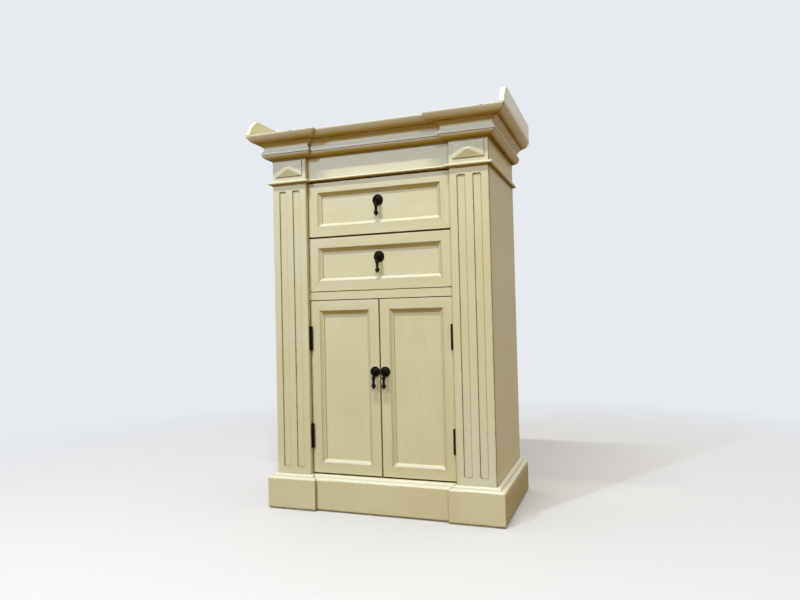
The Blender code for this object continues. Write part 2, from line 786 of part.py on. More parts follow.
def door_leaf(sign, z):
    """A hinge's door half: the middle knuckle, bored for the pin, and the leaf on the door's edge."""
    low_z, high_z = z - hinge_length / 2, z + hinge_length / 2
    third = hinge_length / 3
    edge_x = half_opening - front_gap
    leaf_x = sorted((sign * edge_x, sign * (edge_x - leaf_thickness)))
    x = sign * hinge_x
    start, end = low_z + third + knuckle_gap, high_z - third - knuckle_gap
    knuckle = raw_cylinder(knuckle_radius, (x, hinge_y, start), (x, hinge_y, end))
    leaf = raw_box((leaf_x[0], recess_y + leaf_pocket, low_z), (leaf_x[1], leaf_back_y(), high_z))
    tab = raw_box((leaf_x[0], hinge_y + knuckle_radius / 2, start), (leaf_x[1], recess_y + 2 * leaf_pocket, end))
    bore = raw_cylinder(hinge_pin_radius + hinge_bore_clearance, (x, hinge_y, low_z), (x, hinge_y, high_z), 12)
    return welded([leaf, tab, knuckle], [bore])


def make_hinges(side, sign):
    """A pair of butt hinges; it returns the halves that move with the door."""
    moving = []
    for place, z in zip(("lower", "upper"), hinge_heights()):
        name = side + "_" + place + "_hinge"
        finish(case_leaf(sign, z), name + "_case_leaf", black_iron, smooth=True)
        moving.append(finish(door_leaf(sign, z), name + "_door_leaf", black_iron, smooth=True))
    return moving


def make_door(side, sign):
    """A door: its frame, let in for the hinge leaves, its panel, the leaves and its pull."""
    name = side + "_door"
    edge_x = half_opening - front_gap
    x_pair = sorted((sign * meeting_gap / 2, sign * edge_x))
    frame, panel = frame_with_panel(name, (x_pair[0], floor_z + front_gap), (x_pair[1], door_top_z - front_gap),
                                    recess_y)
    for z in hinge_heights():
        x_cut = sorted((sign * (edge_x + cut_over), sign * (edge_x - leaf_thickness - leaf_pocket)))
        cut(frame, raw_box((x_cut[0], recess_y - cut_over, z - hinge_length / 2 - leaf_pocket),
                           (x_cut[1], leaf_back_y() + leaf_pocket, z + hinge_length / 2 + leaf_pocket)))
    pull_x = sign * (meeting_gap / 2 + frame_width / 2)
    pull = make_pull(name, pull_x, floor_z + door_pull_height, recess_y)
    swing = new_axis(name + "_axis", (sign * hinge_x, hinge_y, (floor_z + door_top_z) / 2))
    ride(swing, [frame, panel] + make_hinges(side, sign) + pull)


make_case()
make_front_boards()
make_belts()
make_gallery()
make_runners()
make_shelf()
make_catch()
for side_name, side_sign in sides:
    make_pilaster(side_name, side_sign)
    make_door(side_name, side_sign)
make_drawer("lower_drawer", lower_drawer_z, lower_drawer_height)
make_drawer("upper_drawer", upper_drawer_z, upper_drawer_height)
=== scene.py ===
"""The look of a small painted cupboard: two drawers over a pair of doors, between fluted pilasters.

Each board, moulding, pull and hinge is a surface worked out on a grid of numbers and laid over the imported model's
piece of the same name. Metres, +Z up; the front faces -Y and x runs across it.
"""

import json
import math

import bpy
import numpy as np
from bpy.props import FloatProperty, FloatVectorProperty, IntProperty, PointerProperty
from mathutils import Matrix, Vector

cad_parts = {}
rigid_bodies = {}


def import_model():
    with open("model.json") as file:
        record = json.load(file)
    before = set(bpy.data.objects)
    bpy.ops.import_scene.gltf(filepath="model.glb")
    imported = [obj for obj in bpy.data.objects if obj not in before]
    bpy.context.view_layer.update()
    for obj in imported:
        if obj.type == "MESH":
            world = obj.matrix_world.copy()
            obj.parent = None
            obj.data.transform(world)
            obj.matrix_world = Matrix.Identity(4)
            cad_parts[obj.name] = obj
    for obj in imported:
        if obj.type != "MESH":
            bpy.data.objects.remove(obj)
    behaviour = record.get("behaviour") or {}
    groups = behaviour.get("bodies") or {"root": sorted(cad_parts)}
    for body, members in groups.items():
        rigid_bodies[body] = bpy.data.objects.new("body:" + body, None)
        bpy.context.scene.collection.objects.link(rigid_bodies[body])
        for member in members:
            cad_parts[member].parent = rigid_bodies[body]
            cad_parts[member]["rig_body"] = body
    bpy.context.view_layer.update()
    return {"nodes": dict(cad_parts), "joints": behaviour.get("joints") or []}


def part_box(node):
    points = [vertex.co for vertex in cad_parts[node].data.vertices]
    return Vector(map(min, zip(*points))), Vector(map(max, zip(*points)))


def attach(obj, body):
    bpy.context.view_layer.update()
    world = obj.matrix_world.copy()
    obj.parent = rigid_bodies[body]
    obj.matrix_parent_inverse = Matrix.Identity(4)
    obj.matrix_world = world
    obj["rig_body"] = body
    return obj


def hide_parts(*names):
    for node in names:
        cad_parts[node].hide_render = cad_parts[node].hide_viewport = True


bl_info = {
    "name": "Painted Cupboard",
    "version": (1, 0, 0),
    "blender": (4, 5, 0),
    "location": "View3D > Sidebar > Cupboard",
    "description": "Lays painted boards, mouldings, pulls and hinges over the cupboard's fixed frame",
    "category": "Add Mesh",
}

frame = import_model()

SIDES = (("left", -1), ("right", 1))
FRONTS = ("upper_drawer", "lower_drawer", "left_door", "right_door")


def low_high(node):
    """The lowest and highest corners of one of the model's pieces, as arrays."""
    low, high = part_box(node)
    return np.array(low), np.array(high)


# Sizes and colours ------------------------------------------------------------------------------------------

def length(name, description, default):
    return FloatProperty(name=name, description=description, default=default, min=0.0, unit="LENGTH", precision=5)


def share(name, description, default, top=1.0):
    return FloatProperty(name=name, description=description, default=default, min=0.0, max=top, subtype="FACTOR")


def colour(name, description, default):
    return FloatVectorProperty(name=name, description=description, default=default, size=3, min=0.0, max=1.0,
                               subtype="COLOR")


class CupboardSizes(bpy.types.PropertyGroup):
    """Lengths that the surfaces are worked out from."""
    arris: length("Arris", "Rounding of a board's edges", 0.0009)
    seam_arris: length("Seam arris", "Rounding where two boards meet in one face", 0.00015)
    mitre_round: length("Mitre rounding", "Rounding of a moulding's outer corners", 0.0011)
    flute_width: length("Flute width", "Width of a flute", 0.0210)
    flute_depth: length("Flute depth", "Depth of a flute", 0.003)
    flute_corner: length("Flute corner", "Rounding at a flute's ends", 0.0035)
    flute_end: length("Flute end", "Plain wood beyond a flute's ends", 0.018)
    flute_lean: length("Flute lean", "How far a flute's sides lean", 0.0008)
    tablet_side: length("Tablet side border", "Border beside a tablet", 0.0097)
    tablet_below: length("Tablet lower border", "Border under a tablet", 0.0124)
    tablet_above: length("Tablet upper border", "Border over a tablet", 0.0055)
    tablet_rim: length("Tablet rim", "How far a tablet's edge stands out", 0.0020)
    tablet_peak: length("Tablet peak", "How far the point of a tablet's pyramid stands out", 0.0092)
    frame_width: length("Frame width", "Flat width of a front's frame", 0.0265)
    moulding_width: length("Moulding width", "Width of the sloped moulding inside a frame", 0.0092)
    moulding_depth: length("Moulding depth", "Depth of that moulding", 0.0075)
    panel_setback: length("Panel setback", "Where a panel's face lies behind the front", 0.0088)
    rebate_lap: length("Rebate", "How far a panel runs behind its frame", 0.0083)
    gallery_round: length("Gallery rounding", "Length of the round end of a gallery board", 0.047)
    gallery_power: FloatProperty(name="Gallery power", description="How full the round end is; 2 is an ellipse",
                                 default=1.5, min=1.0, max=3.0, subtype="UNSIGNED")
    plinth_lift: length("Plinth lift", "Shadow gap under the plinth", 0.0038)
    leaf_pocket: length("Leaf pocket", "Depth of the pocket for a hinge leaf", 0.0011)
    turned_steps: IntProperty(name="Turned steps", description="Points round a turned piece", default=64, min=12,
                              subtype="UNSIGNED")


class CupboardColours(bpy.types.PropertyGroup):
    """Colours of the paint, the glaze in its hollows, the painted light and shade on it, the woods and the metals."""
    paint: colour("Paint", "Cream paint", (0.640, 0.606, 0.385))
    # Also painted warm light, towards the right side and the bottom.
    warm_paint_and_light: colour("Warm paint", "Where the paint has yellowed", (0.618, 0.556, 0.290))
    paint_head: colour("Head paint", "Paint of the cornice, which has yellowed least", (0.656, 0.640, 0.476))
    # Also a painted highlight on faces that turn up.
    chalk_and_highlight: colour("Chalky paint", "Paint rubbed pale on slopes that face up", (0.715, 0.680, 0.535))
    # Painted shade on faces that turn to the right.
    flank_shade: colour("Flank paint", "Paint of the right flank, away from the light", (0.600, 0.560, 0.330))
    # Deeper painted shade on those faces near the floor.
    flank_floor_shade: colour("Foot paint", "Paint of that flank near the floor", (0.345, 0.262, 0.062))
    # Painted light on the right gallery board's outer face.
    gallery_face_light: colour("Gallery paint", "Paint of the gallery's outer face, bleached by daylight", (0.850, 0.880, 0.840))
    paint_pale: colour("Pale paint", "Where the paint is rubbed", (0.672, 0.640, 0.440))
    # Painted shade on faces that turn down.
    underside_shade_colour: colour("Sheltered paint", "Paint on the undersides of mouldings", (0.405, 0.308, 0.025))
    # Also the colour of the painted shade in gaps, in hollows and under mouldings.
    glaze: colour("Glaze", "Brown glaze in the quirks", (0.082, 0.055, 0.014))
    undercoat: colour("Undercoat", "Tan undercoat on worn arrises", (0.300, 0.205, 0.090))
    bare: colour("Bare wood", "Dark wood in a chip", (0.060, 0.036, 0.018))
    pine: colour("Pine", "Inner boards", (0.500, 0.345, 0.190))
    pine_dark: colour("Pine grain", "Late wood of the inner boards", (0.330, 0.190, 0.085))
    bronze: colour("Bronze", "Dark bronze of the pulls", (0.006, 0.0045, 0.0015))
    bronze_rub: colour("Rubbed bronze", "Bronze where hands rub it", (0.060, 0.042, 0.018))
    iron: colour("Iron", "Black iron of the hinges", (0.006, 0.005, 0.004))
    plastic: colour("Catch", "Brown plastic of the door catch", (0.100, 0.055, 0.030))
    floor: colour("Floor", "Pale floor", (0.600, 0.585, 0.565))
    backdrop: colour("Backdrop", "Pale ground behind the cupboard", (0.80, 0.83, 0.87))
    glaze_and_shade_amount: share("Glaze amount", "How strongly the glaze shows", 0.85)
    wear_amount: share("Wear amount", "How far the arrises are worn", 0.55)


def sizes():
    return bpy.context.scene.cupboard_sizes


def colours():
    return bpy.context.scene.cupboard_colours


# Surfaces ----------------------------------------------------------------------------------------------------

# The glaze layer holds brown glaze and also painted shade in gaps, in hollows and under mouldings.
LAYERS = {"stroke": 3, "wear": 1, "glaze": 1, "chip": 1}


def shell(points, quads, caps=(), **layers):
    """Points (n, 3), quads (m, 4), caps (index arrays) and one value a point for each layer; unset layers are 0."""
    filled = {name: np.zeros((len(points), 3)) if width == 3 else np.zeros(len(points))
              for name, width in LAYERS.items()}
    filled.update(layers)
    return {"points": np.asarray(points, float), "quads": quads, "caps": list(caps), "layers": filled}


def joined(*shells):
    """Several shells as one: each shell's faces count on from the points before it."""
    starts = np.cumsum([0] + [len(s["points"]) for s in shells[:-1]])
    return {
        "points": np.concatenate([s["points"] for s in shells]),
        "quads": np.concatenate([s["quads"] + start for s, start in zip(shells, starts)]),
        "caps": [cap + start for s, start in zip(shells, starts) for cap in s["caps"]],
        "layers": {name: np.concatenate([s["layers"][name] for s in shells]) for name in LAYERS},
    }


def welded(item, reach=1e-7):
    """The same shell with points that lie within reach made one. A third is added because even lengths often lie
    where two steps of the rounding meet."""
    keys = np.round(item["points"] / reach + 1 / 3).astype(np.int64)
    _, first, place = np.unique(keys, axis=0, return_index=True, return_inverse=True)
    place = place.reshape(-1)
    return {
        "points": item["points"][first],
        "quads": place[item["quads"]],
        "caps": [place[cap] for cap in item["caps"]],
        "layers": {name: value[first] for name, value in item["layers"].items()},
    }


def grid_quads(rows, columns, closed_rows=False, closed_columns=False):
    """Quads between neighbouring points of a grid; a closed direction runs on into its start."""
    row = np.arange(rows if closed_rows else rows - 1)[:, None]
    column = np.arange(columns if closed_columns else columns - 1)[None, :]
    next_row, next_column = (row + 1) % rows, (column + 1) % columns
    corners = [row * columns + column, row * columns + next_column,
               next_row * columns + next_column, next_row * columns + column]
    return np.stack(corners, axis=-1).reshape(-1, 4)


def sheet(grid, close_rows=False, close_columns=False, capped=False, **layers):
    """A grid of points as a shell, with flat caps on its first and last rows if capped. A layer is a number or an
    array that spreads over the grid; stroke is three of them."""
    rows, columns = grid.shape[:2]
    end = np.arange(columns)

    def spread(value):
        return np.broadcast_to(value, (rows, columns)).ravel()

    flat = {name: np.stack([spread(part) for part in value], axis=-1) if name == "stroke" else spread(value)
            for name, value in layers.items()}
    return shell(grid.reshape(-1, 3), grid_quads(rows, columns, close_rows, close_columns),
                 (end[::-1], end + (rows - 1) * columns) if capped else (), **flat)


def face_lists(quads):
    """Quads as lists; a quad with one repeated corner becomes a triangle, and one with two is dropped."""
    same = quads == np.roll(quads, -1, axis=1)
    count = same.sum(axis=1)
    bent = quads[count == 1]
    keep = np.ones(bent.shape, bool)
    keep[np.arange(len(bent)), same[count == 1].argmax(axis=1)] = False
    return quads[count == 0].tolist() + bent[keep].reshape(-1, 3).tolist()


def enclosed(points, quads, caps):
    """The volume inside closed faces: the sum over triangles of a . (b x c) / 6, positive if they face outward."""
    fans = [np.stack([np.full(len(cap) - 2, cap[0]), cap[1:-1], cap[2:]], axis=-1) for cap in caps]
    triangles = np.concatenate([quads[:, [0, 1, 2]], quads[:, [0, 2, 3]]] + fans)
    a, b, c = (points[triangles[:, k]] for k in range(3))
    return float((a * np.cross(b, c)).sum() / 6)


def facing_out(item):
    """The shell with its faces turned outward."""
    if enclosed(item["points"], item["quads"], item["caps"]) < 0:
        item["quads"] = item["quads"][:, ::-1]
        item["caps"] = [cap[::-1] for cap in item["caps"]]
    return item


def lay(item, node, material, crease=40.0):
    """Makes the mesh of a shell, lays it over the model's node and gives it its body and material."""
    points = item["points"]
    faces = face_lists(item["quads"]) + [cap.tolist() for cap in item["caps"]]
    if enclosed(points - points.mean(axis=0), item["quads"], item["caps"]) < 0:
        faces = [face[::-1] for face in faces]
    name = node + "_surface"
    mesh = bpy.data.meshes.new(name)
    mesh.from_pydata(points, [], faces)
    for layer, width in LAYERS.items():
        values = item["layers"][layer].astype(np.float32)
        kind, key = ("FLOAT_VECTOR", "vector") if width == 3 else ("FLOAT", "value")
        mesh.attributes.new(layer, kind, "POINT").data.foreach_set(key, values.ravel())
    mesh.shade_smooth()
    mesh.set_sharp_from_angle(angle=math.radians(crease))
    normals = np.zeros(len(points) * 3, np.float32)
    mesh.vertices.foreach_get("normal", normals)
    for layer, axis in (("slope", 2), ("flank", 0)):
        mesh.attributes.new(layer, "FLOAT", "POINT").data.foreach_set("value", normals.reshape(-1, 3)[:, axis].copy())
    mesh.materials.append(material)
    piece = bpy.data.objects.new(name, mesh)
    bpy.context.scene.collection.objects.link(piece)
    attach(piece, frame["nodes"][node]["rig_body"])
    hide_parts(node)


def smooth_step(value):
    """3t^2 - 2t^3 with t held between 0 and 1."""
    t = np.clip(value, 0, 1)
    return t * t * (3 - 2 * t)


def hump(distance, width):
    """exp(-(distance / width)^2), a soft line round distance 0."""
    return np.exp(-(distance / width) ** 2)


def seed_of(node):
    """A fixed shift for each piece, so that brush marks don't run on from one piece to the next."""
    return float(sum((k + 1) * ord(letter) for k, letter in enumerate(node)) % 97) * 0.37


def bends(place, reach, before, after, steps):
    """The curve (1-s)^2 a + 2 s (1-s) c + s^2 b at each corner c, where a and b lie reach from it along its two
    sides, or half a side if that is less. Returns the curves, the sides' directions, that reach and its limit."""
    half = [np.linalg.norm(way, axis=1, keepdims=True) / 2 for way in (before, after)]
    toward = [way / (2 * size) for way, size in zip((before, after), half)]
    limit = np.minimum(*half)
    taken = np.minimum(reach[:, None], limit)
    s = np.linspace(0, 1, steps + 1)[None, :, None]
    a, b = ((place + way * taken)[:, None] for way in toward)
    return (1 - s) ** 2 * a + 2 * s * (1 - s) * place[:, None] + s ** 2 * b, toward, taken, limit


def softened(corners, steps=4):
    """A closed outline whose corners, rows of (u, v, reach), are bent. A point is added just beyond both ends of a
    bend, so that the flat between two corners is shaded flat."""
    corners = np.asarray(corners, float)
    place = corners[:, :2]
    curve, toward, taken, limit = bends(place, corners[:, 2], np.roll(place, 1, axis=0) - place,
                                        np.roll(place, -1, axis=0) - place, steps)
    guard = np.minimum(0.6 * taken + 0.0002, 0.5 * (limit - taken))
    lead, trail = ((place + way * (taken + guard))[:, None] for way in toward)
    outline = np.concatenate([lead, curve, trail], axis=1).reshape(-1, 2)
    gap = np.linalg.norm(outline - np.roll(outline, 1, axis=0), axis=1)
    return outline[gap > 2e-6]


def open_softened(rows, steps=4):
    """A line from pole to pole with its inner corners bent; the first and last points stay."""
    rows = np.asarray(rows, float)
    place = rows[:, :2]
    curve = bends(place[1:-1], rows[1:-1, 2], place[:-2] - place[1:-1], place[2:] - place[1:-1], steps)[0]
    line = np.concatenate([place[:1], curve.reshape(-1, 2), place[-1:]])
    gap = np.concatenate([[1.0], np.linalg.norm(np.diff(line, axis=0), axis=1)])
    return line[gap > 1e-6]


def line_length(points):
    """The length of a line of points up to each point."""
    steps = np.linalg.norm(np.diff(points, axis=0), axis=1)
    return np.concatenate([[0], np.cumsum(steps)])


# Boards ------------------------------------------------------------------------------------------------------

def axis_lines(low, high, radius, more):
    """Grid lines along one side of a board: close together in the rounding, then no further apart than 80 mm."""
    bend = radius * (1 - np.tan(np.radians([45, 33, 22, 11, 0])))
    edge = np.concatenate([bend, radius + np.array([0.0004, 0.0012, 0.003])])
    edge = edge[edge < (high - low) / 2]
    middle = np.linspace(low, high, max(2, int(np.ceil((high - low) / 0.08)) + 1))[1:-1]
    inner = np.concatenate([middle, np.asarray(more, float)])
    inner = inner[(inner > low + edge[-1] + 1e-5) & (inner < high - edge[-1] - 1e-5)]
    lines = np.unique(np.round(np.concatenate([low + edge, inner, high - edge]), 7))
    return lines[np.concatenate([[True], np.diff(lines) > 2e-5])]


def board(low, high, radius, grain, seed, lines=((), (), ()), square=(), carve=None):
    """A board with rounded edges and, where carve says so, hollows in its faces.

    On each of the six faces p runs over a grid. With core = p held radius inside the board, and d = p - core, the
    surface is core + d * max|d| / |d|. square names faces, such as "+y", whose edges stay sharp. carve(face, p)
    returns how deep the face is cut there, its glaze and painted shade, and its wear. Wear falls off with distance from
    the edge.
    """
    low, high = np.asarray(low, float), np.asarray(high, float)
    grids = [axis_lines(low[k], high[k], radius, lines[k]) for k in range(3)]
    open_low, open_high = (np.array([way + name in square for name in "xyz"]) for way in "-+")
    core_low, core_high = low + radius * ~open_low, high - radius * ~open_high
    order = [grain] + [axis for axis in range(3) if axis != grain]
    shells = []
    for k in range(3):
        i, j = [axis for axis in range(3) if axis != k]
        a, b = np.meshgrid(grids[i], grids[j], indexing="ij")
        for sign, level in ((-1, low[k]), (1, high[k])):
            p = np.zeros(a.shape + (3,))
            p[..., i], p[..., j], p[..., k] = a, b, level
            core = np.clip(p, core_low, core_high)
            d = p - core
            size = np.linalg.norm(d, axis=-1, keepdims=True)
            most = np.abs(d).max(axis=-1, keepdims=True)
            surface = core + d * np.where(size > 0, most / np.where(size > 0, size, 1), 0)
            edge = np.min([p[..., axis] - low[axis] + open_low[axis] for axis in (i, j)]
                          + [high[axis] - p[..., axis] + open_high[axis] for axis in (i, j)], axis=0)
            wear = np.clip(1 - edge / (radius + 0.0011), 0, 1) ** 1.3
            glaze = 0.0
            if carve is not None:
                depth, glaze, more_wear = carve(("-" if sign < 0 else "+") + "xyz"[k], p)
                surface[..., k] -= sign * depth
                wear = np.maximum(wear, more_wear)
            stroke = [p[..., axis] + shift * seed for axis, shift in zip(order, (1, 0.7, 0.3))]
            face = sheet(surface, stroke=stroke, wear=wear, glaze=glaze)
            if (sign > 0) != (k != 1):
                face["quads"] = face["quads"][:, ::-1]
            shells.append(face)
    return facing_out(welded(joined(*shells)))


def plank(node, radius, grain, finish, material, **more):
    """Lays a board of the size of the model's piece of that name."""
    lay(board(*low_high(node), radius, grain, seed_of(node), **more), node, material)


def around(place, offsets):
    """Lines at each offset on both sides of each place."""
    offsets = np.asarray(offsets, float)
    place = np.atleast_1d(np.asarray(place, float))[:, None]
    return np.concatenate([place - offsets, place + offsets], axis=1).ravel()


def bounded(low, high, inner, outer):
    """Lines at each inner offset within two bounds and at each outer offset beyond them."""
    return np.concatenate([low + inner, high - inner, low - outer, high + outer])


def within(value, bounds):
    """Whether each value lies between two bounds."""
    return (value > bounds[0]) & (value < bounds[1])


# Mouldings ---------------------------------------------------------------------------------------------------

SEAT_GAP = 0.0003       # between a moulding and the boards that it goes round
MITRE_GAP = 0.0004      # between two lengths of a moulding
CRACK_STEP = 0.0025     # how close the points lie where a broken dark line runs
CORNER = [np.array([0.0, 1.0])]     # the shares from one ring of a rounded corner to the next
# The strip is painted dark as the plinth's shadow.
PLINTH_SHADOW_STRIP = 0.86     # the dark strip under the plinth's face, as a share of the projection
CORNICE_SECTION = (
    # share of the projection, share of the height, rounding as a share of the height
    (0.000, 0.018, 0.001), (0.120, 0.022, 0.020), (0.200, 0.038, 1), (0.285, 0.070, 1), (0.362, 0.118, 1),
    (0.405, 0.170, 1), (0.402, 0.191, 0.006), (0.378, 0.197, 0.003), (0.384, 0.211, 0.003),
    (0.419, 0.215, 0.006), (0.421, 0.252, 1), (0.413, 0.300, 1), (0.378, 0.362, 1), (0.335, 0.412, 1),
    (0.308, 0.463, 1), (0.325, 0.516, 1), (0.384, 0.576, 1), (0.466, 0.634, 1), (0.558, 0.672, 0.006),
    (0.558, 0.699, 0.003), (0.640, 0.699, 0.010), (0.700, 0.702, 1), (0.773, 0.725, 1), (0.865, 0.785, 1),
    (0.939, 0.866, 1), (0.986, 0.935, 1), (1.000, 0.978, 1), (0.994, 0.997, 0.008), (0.960, 1.000, 0.010),
    (0.000, 1.000, 0.001),
)
PLINTH_TOP_SECTION = (
    # share of the projection, share of the moulding's height above the plain face, rounding
    (1.000, 0.000, 0.090), (0.905, 0.190, 1), (0.760, 0.370, 1), (0.600, 0.470, 0.030), (0.545, 0.448, 0.020),
    (0.490, 0.470, 0.030), (0.462, 0.640, 1), (0.360, 0.815, 1), (0.200, 0.935, 1), (0.060, 1.000, 0.020),
    (0.000, 1.000, 0.001),
)
CHIPS = {
    # the middle, the reach and the depth of each
    "cornice_left_front": (((-0.2148, -0.1960, 1.0060), (0.0030, 0.0030, 0.0016), 0.0009),
                           ((-0.2885, -0.1955, 1.0050), (0.0014, 0.0030, 0.0012), 0.0006)),
    "cornice_center": (((-0.1051, -0.1822, 0.9960), (0.0022, 0.0030, 0.0016), 0.0008),
                       ((-0.0720, -0.1815, 0.9925), (0.0040, 0.0030, 0.0009), 0.0005),
                       ((-0.0590, -0.1815, 0.9925), (0.0016, 0.0030, 0.0008), 0.0004)),
    "cornice_right_front": (((0.2895, -0.1960, 1.0062), (0.0020, 0.0030, 0.0013), 0.0007),
                            ((0.2967, -0.1960, 1.0058), (0.0026, 0.0030, 0.0012), 0.0007),
                            ((0.3485, -0.1950, 1.0015), (0.0016, 0.0026, 0.0030), 0.0010),
                            ((0.3470, -0.1940, 0.9950), (0.0012, 0.0026, 0.0022), 0.0007)),
    "plinth_left": (((-0.2674, -0.1616, 0.0735), (0.0030, 0.0030, 0.0012), 0.0006),
                    ((-0.2350, -0.1616, 0.0708), (0.0042, 0.0030, 0.0010), 0.0005),
                    ((-0.2470, -0.1616, 0.0722), (0.0014, 0.0030, 0.0008), 0.0003),
                    ((-0.1985, -0.1616, 0.0700), (0.0012, 0.0030, 0.0026), 0.0005),
                    ((-0.3204, -0.1616, 0.0396), (0.0012, 0.0030, 0.0009), 0.0003)),
    "plinth_right": (((0.2130, -0.1616, 0.0165), (0.0016, 0.0030, 0.0014), 0.0005),
                     ((0.2698, -0.1616, 0.0261), (0.0040, 0.0030, 0.0007), 0.0003),
                     ((0.3160, -0.1616, 0.0770), (0.0016, 0.0030, 0.0012), 0.0006)),
    "plinth_center": (((-0.0361, -0.1520, 0.0835), (0.0020, 0.0030, 0.0010), 0.0004),),
}


def run_shares(run_length, more=(), step=0.06):
    """Places along a run as shares of its length: close together at its ends and round the places in more."""
    near = np.array([0.0006, 0.0015, 0.004, 0.010]) / run_length
    near = near[near < 0.45]
    even = np.linspace(0, 1, max(2, int(np.ceil(run_length / step)) + 1))
    extra = np.asarray(more, float) / run_length
    extra = extra[(extra > 0) & (extra < 1)]
    return np.unique(np.round(np.concatenate([even, near, 1 - near, extra]), 6))


def carried(rings, shares):
    """A profile carried from ring to ring: P = (1-t) A + t B, for each share t of each run."""
    rows = [a + t[:-1, None, None] * (b - a) for a, b, t in zip(rings[:-1], rings[1:], shares)]
    return np.concatenate(rows + [rings[-1][None]])


def grid_normals(grid):
    """The direction square to a grid of points whose columns close: the cross product of its two slopes, made
    one long."""
    across = (np.roll(grid, -1, axis=1) - np.roll(grid, 1, axis=1)) / 2
    normal = np.cross(np.gradient(grid, axis=0), across)
    return normal / np.maximum(np.linalg.norm(normal, axis=-1, keepdims=True), 1e-12)


def chipped(grid, chips, normal):
    """Presses chips into a grid: within a chip the point sinks by depth (1 - d^2)^2, where d is its distance from
    the chip's middle over the chip's reach, made uneven by two sine waves. Returns the grid and a mask."""
    mask = np.zeros(grid.shape[:2])
    sunk = grid.copy()
    for place, reach, depth in chips:
        apart = (grid - np.asarray(place)) / np.asarray(reach)
        angle = np.arctan2(apart[..., 2], apart[..., 0] + apart[..., 1])
        ragged = 1 + 0.22 * np.sin(3 * angle + place[0] * 900) + 0.13 * np.sin(7 * angle + place[2] * 700)
        d = np.linalg.norm(apart, axis=-1) * ragged
        sunk -= normal * (depth * np.clip(1 - d * d, 0, 1) ** 2)[..., None]
        mask = np.maximum(mask, smooth_step((1.15 - d) / 0.5))
    return sunk, mask


def moulding(rings, shares, seed, glaze_and_shade_up, wear_up, end_glaze_and_shade, chips, outward=1, break_width=0.0012, lines=(),
             crack_up=None):
    """A moulding as a closed shell: the carried profile, its wear, its glaze and painted shade, its chips, and a flat
    cap at each end. The glaze and painted shade at the last end reach break_width from it. lines are (distance from the
    last end, amount, width). crack_up is where a broken dark line runs, (1 + sin ar) / 2 + (sin br) / 4 strong, with r
    the run."""
    grid = carried(rings, shares)
    rows, columns = grid.shape[:2]
    sunk, chip = chipped(grid, chips, outward * grid_normals(grid))
    run = line_length(grid[:, columns // 2])[:, None]
    girth = line_length(grid[rows // 2])
    from_end = run[-1] - run
    ends = end_glaze_and_shade[0] * hump(run, 0.0012) + end_glaze_and_shade[1] * hump(from_end, break_width)
    for distance, amount, width in lines:
        ends = np.maximum(ends, amount * hump(from_end - distance, width))
    if crack_up is not None:
        broken = 0.5 + 0.5 * np.sin(run * 190 + seed) + 0.25 * np.sin(run * 430 + 2 * seed)
        chip = np.maximum(chip, crack_up * np.clip(broken, 0, 1))
    return sheet(sunk, close_columns=True, capped=True, stroke=(run + seed, girth + seed * 0.7, seed * 0.3),
                 wear=wear_up, chip=chip, glaze=np.maximum(glaze_and_shade_up, ends))


def ring(section, x, y, along_x, along_y, round_x=0.0, round_y=0.0, radius=0.0):
    """A section's ring at a corner: (x + out along_x + r round_x, y + out along_y + r round_y, up), where r is the
    radius, or less where the section hardly projects."""
    out, up = section[:, 0], section[:, 1]
    reach = np.hypot(along_x, along_y) * out
    r = np.clip(reach, 0.00002, radius) if radius else 0.0 * out
    return np.stack([x + out * along_x + r * round_x, y + out * along_y + r * round_y, up], axis=-1)


def rounded_corner(section, x, y, along_x, along_y, first, second, radius, start=0.0, end=90.0, steps=6):
    """Rings round an outer corner: with n1 and n2 the two faces' directions and m = corner - r n1 - r n2, they lie
    at m + r (cos f n1 + sin f n2) for f from start to end degrees."""
    angles = np.radians(np.linspace(start, end, steps + 1))
    first, second = np.asarray(first, float), np.asarray(second, float)
    turns = -first - second + np.cos(angles)[:, None] * first + np.sin(angles)[:, None] * second
    return [ring(section, x, y, along_x, along_y, turn[0], turn[1], radius) for turn in turns]


def belt_places():
    """The corners that a moulding takes at the right side, from the boxes of the boards that it goes round."""
    pilaster_low, pilaster_high = low_high("right_pilaster")
    return {
        "back_y": low_high("right_side_panel")[1][1],
        "outer_x": pilaster_high[0] + SEAT_GAP, "inner_x": pilaster_low[0] - SEAT_GAP,
        "front_y": pilaster_low[1] - SEAT_GAP, "center_y": low_high("frieze_board")[0][1] - SEAT_GAP,
    }


def flipped(rings, sign):
    """Rings for the left side are the right side's with x turned round."""
    return [item * np.array([sign, 1, 1]) for item in rings]


def section_notes(section, marks, stretch=1.0):
    """Soft spots on a section: for marks (out, up, amount, width), the greatest of amount * hump(distance, width).
    stretch is what out is multiplied by to be in metres."""
    note = np.zeros(len(section))
    for out, up, amount, width in marks:
        distance = np.hypot((section[:, 0] - out) * stretch, section[:, 1] - up)
        note = np.maximum(note, amount * hump(distance, width))
    return note


def cornice_profile():
    """The cornice's section in metres, and its glaze and painted shade, wear and crack lines."""
    low, high = low_high("cornice_center")
    projection, height = belt_places()["center_y"] - low[1], high[2] - low[2]
    rows = np.array(CORNICE_SECTION)
    outline = softened(np.stack([rows[:, 0] * projection, low[2] + rows[:, 1] * height, rows[:, 2] * height],
                                axis=-1), steps=5)

    def notes(*marks):
        return section_notes(outline, [(out * projection, low[2] + up * height, *rest)
                                       for out, up, *rest in marks])

    # Glaze with painted shade in the two quirks, and painted shade along the foot, under the torus where it meets the
    # frieze.
    glaze = notes((0.380, 0.205, 1.0, 0.0009), (0.570, 0.699, 1.0, 0.0018), (0.02, 0.020, 0.9, 0.0050),
                  (0.12, 0.024, 0.8, 0.0030))
    wear = notes((1.0, 0.985, 0.30, 0.0010), (0.410, 0.219, 0.5, 0.0010), (0.558, 0.678, 0.4, 0.0010))
    return outline, glaze, wear, notes((0.380, 0.203, 0.90, 0.0012))


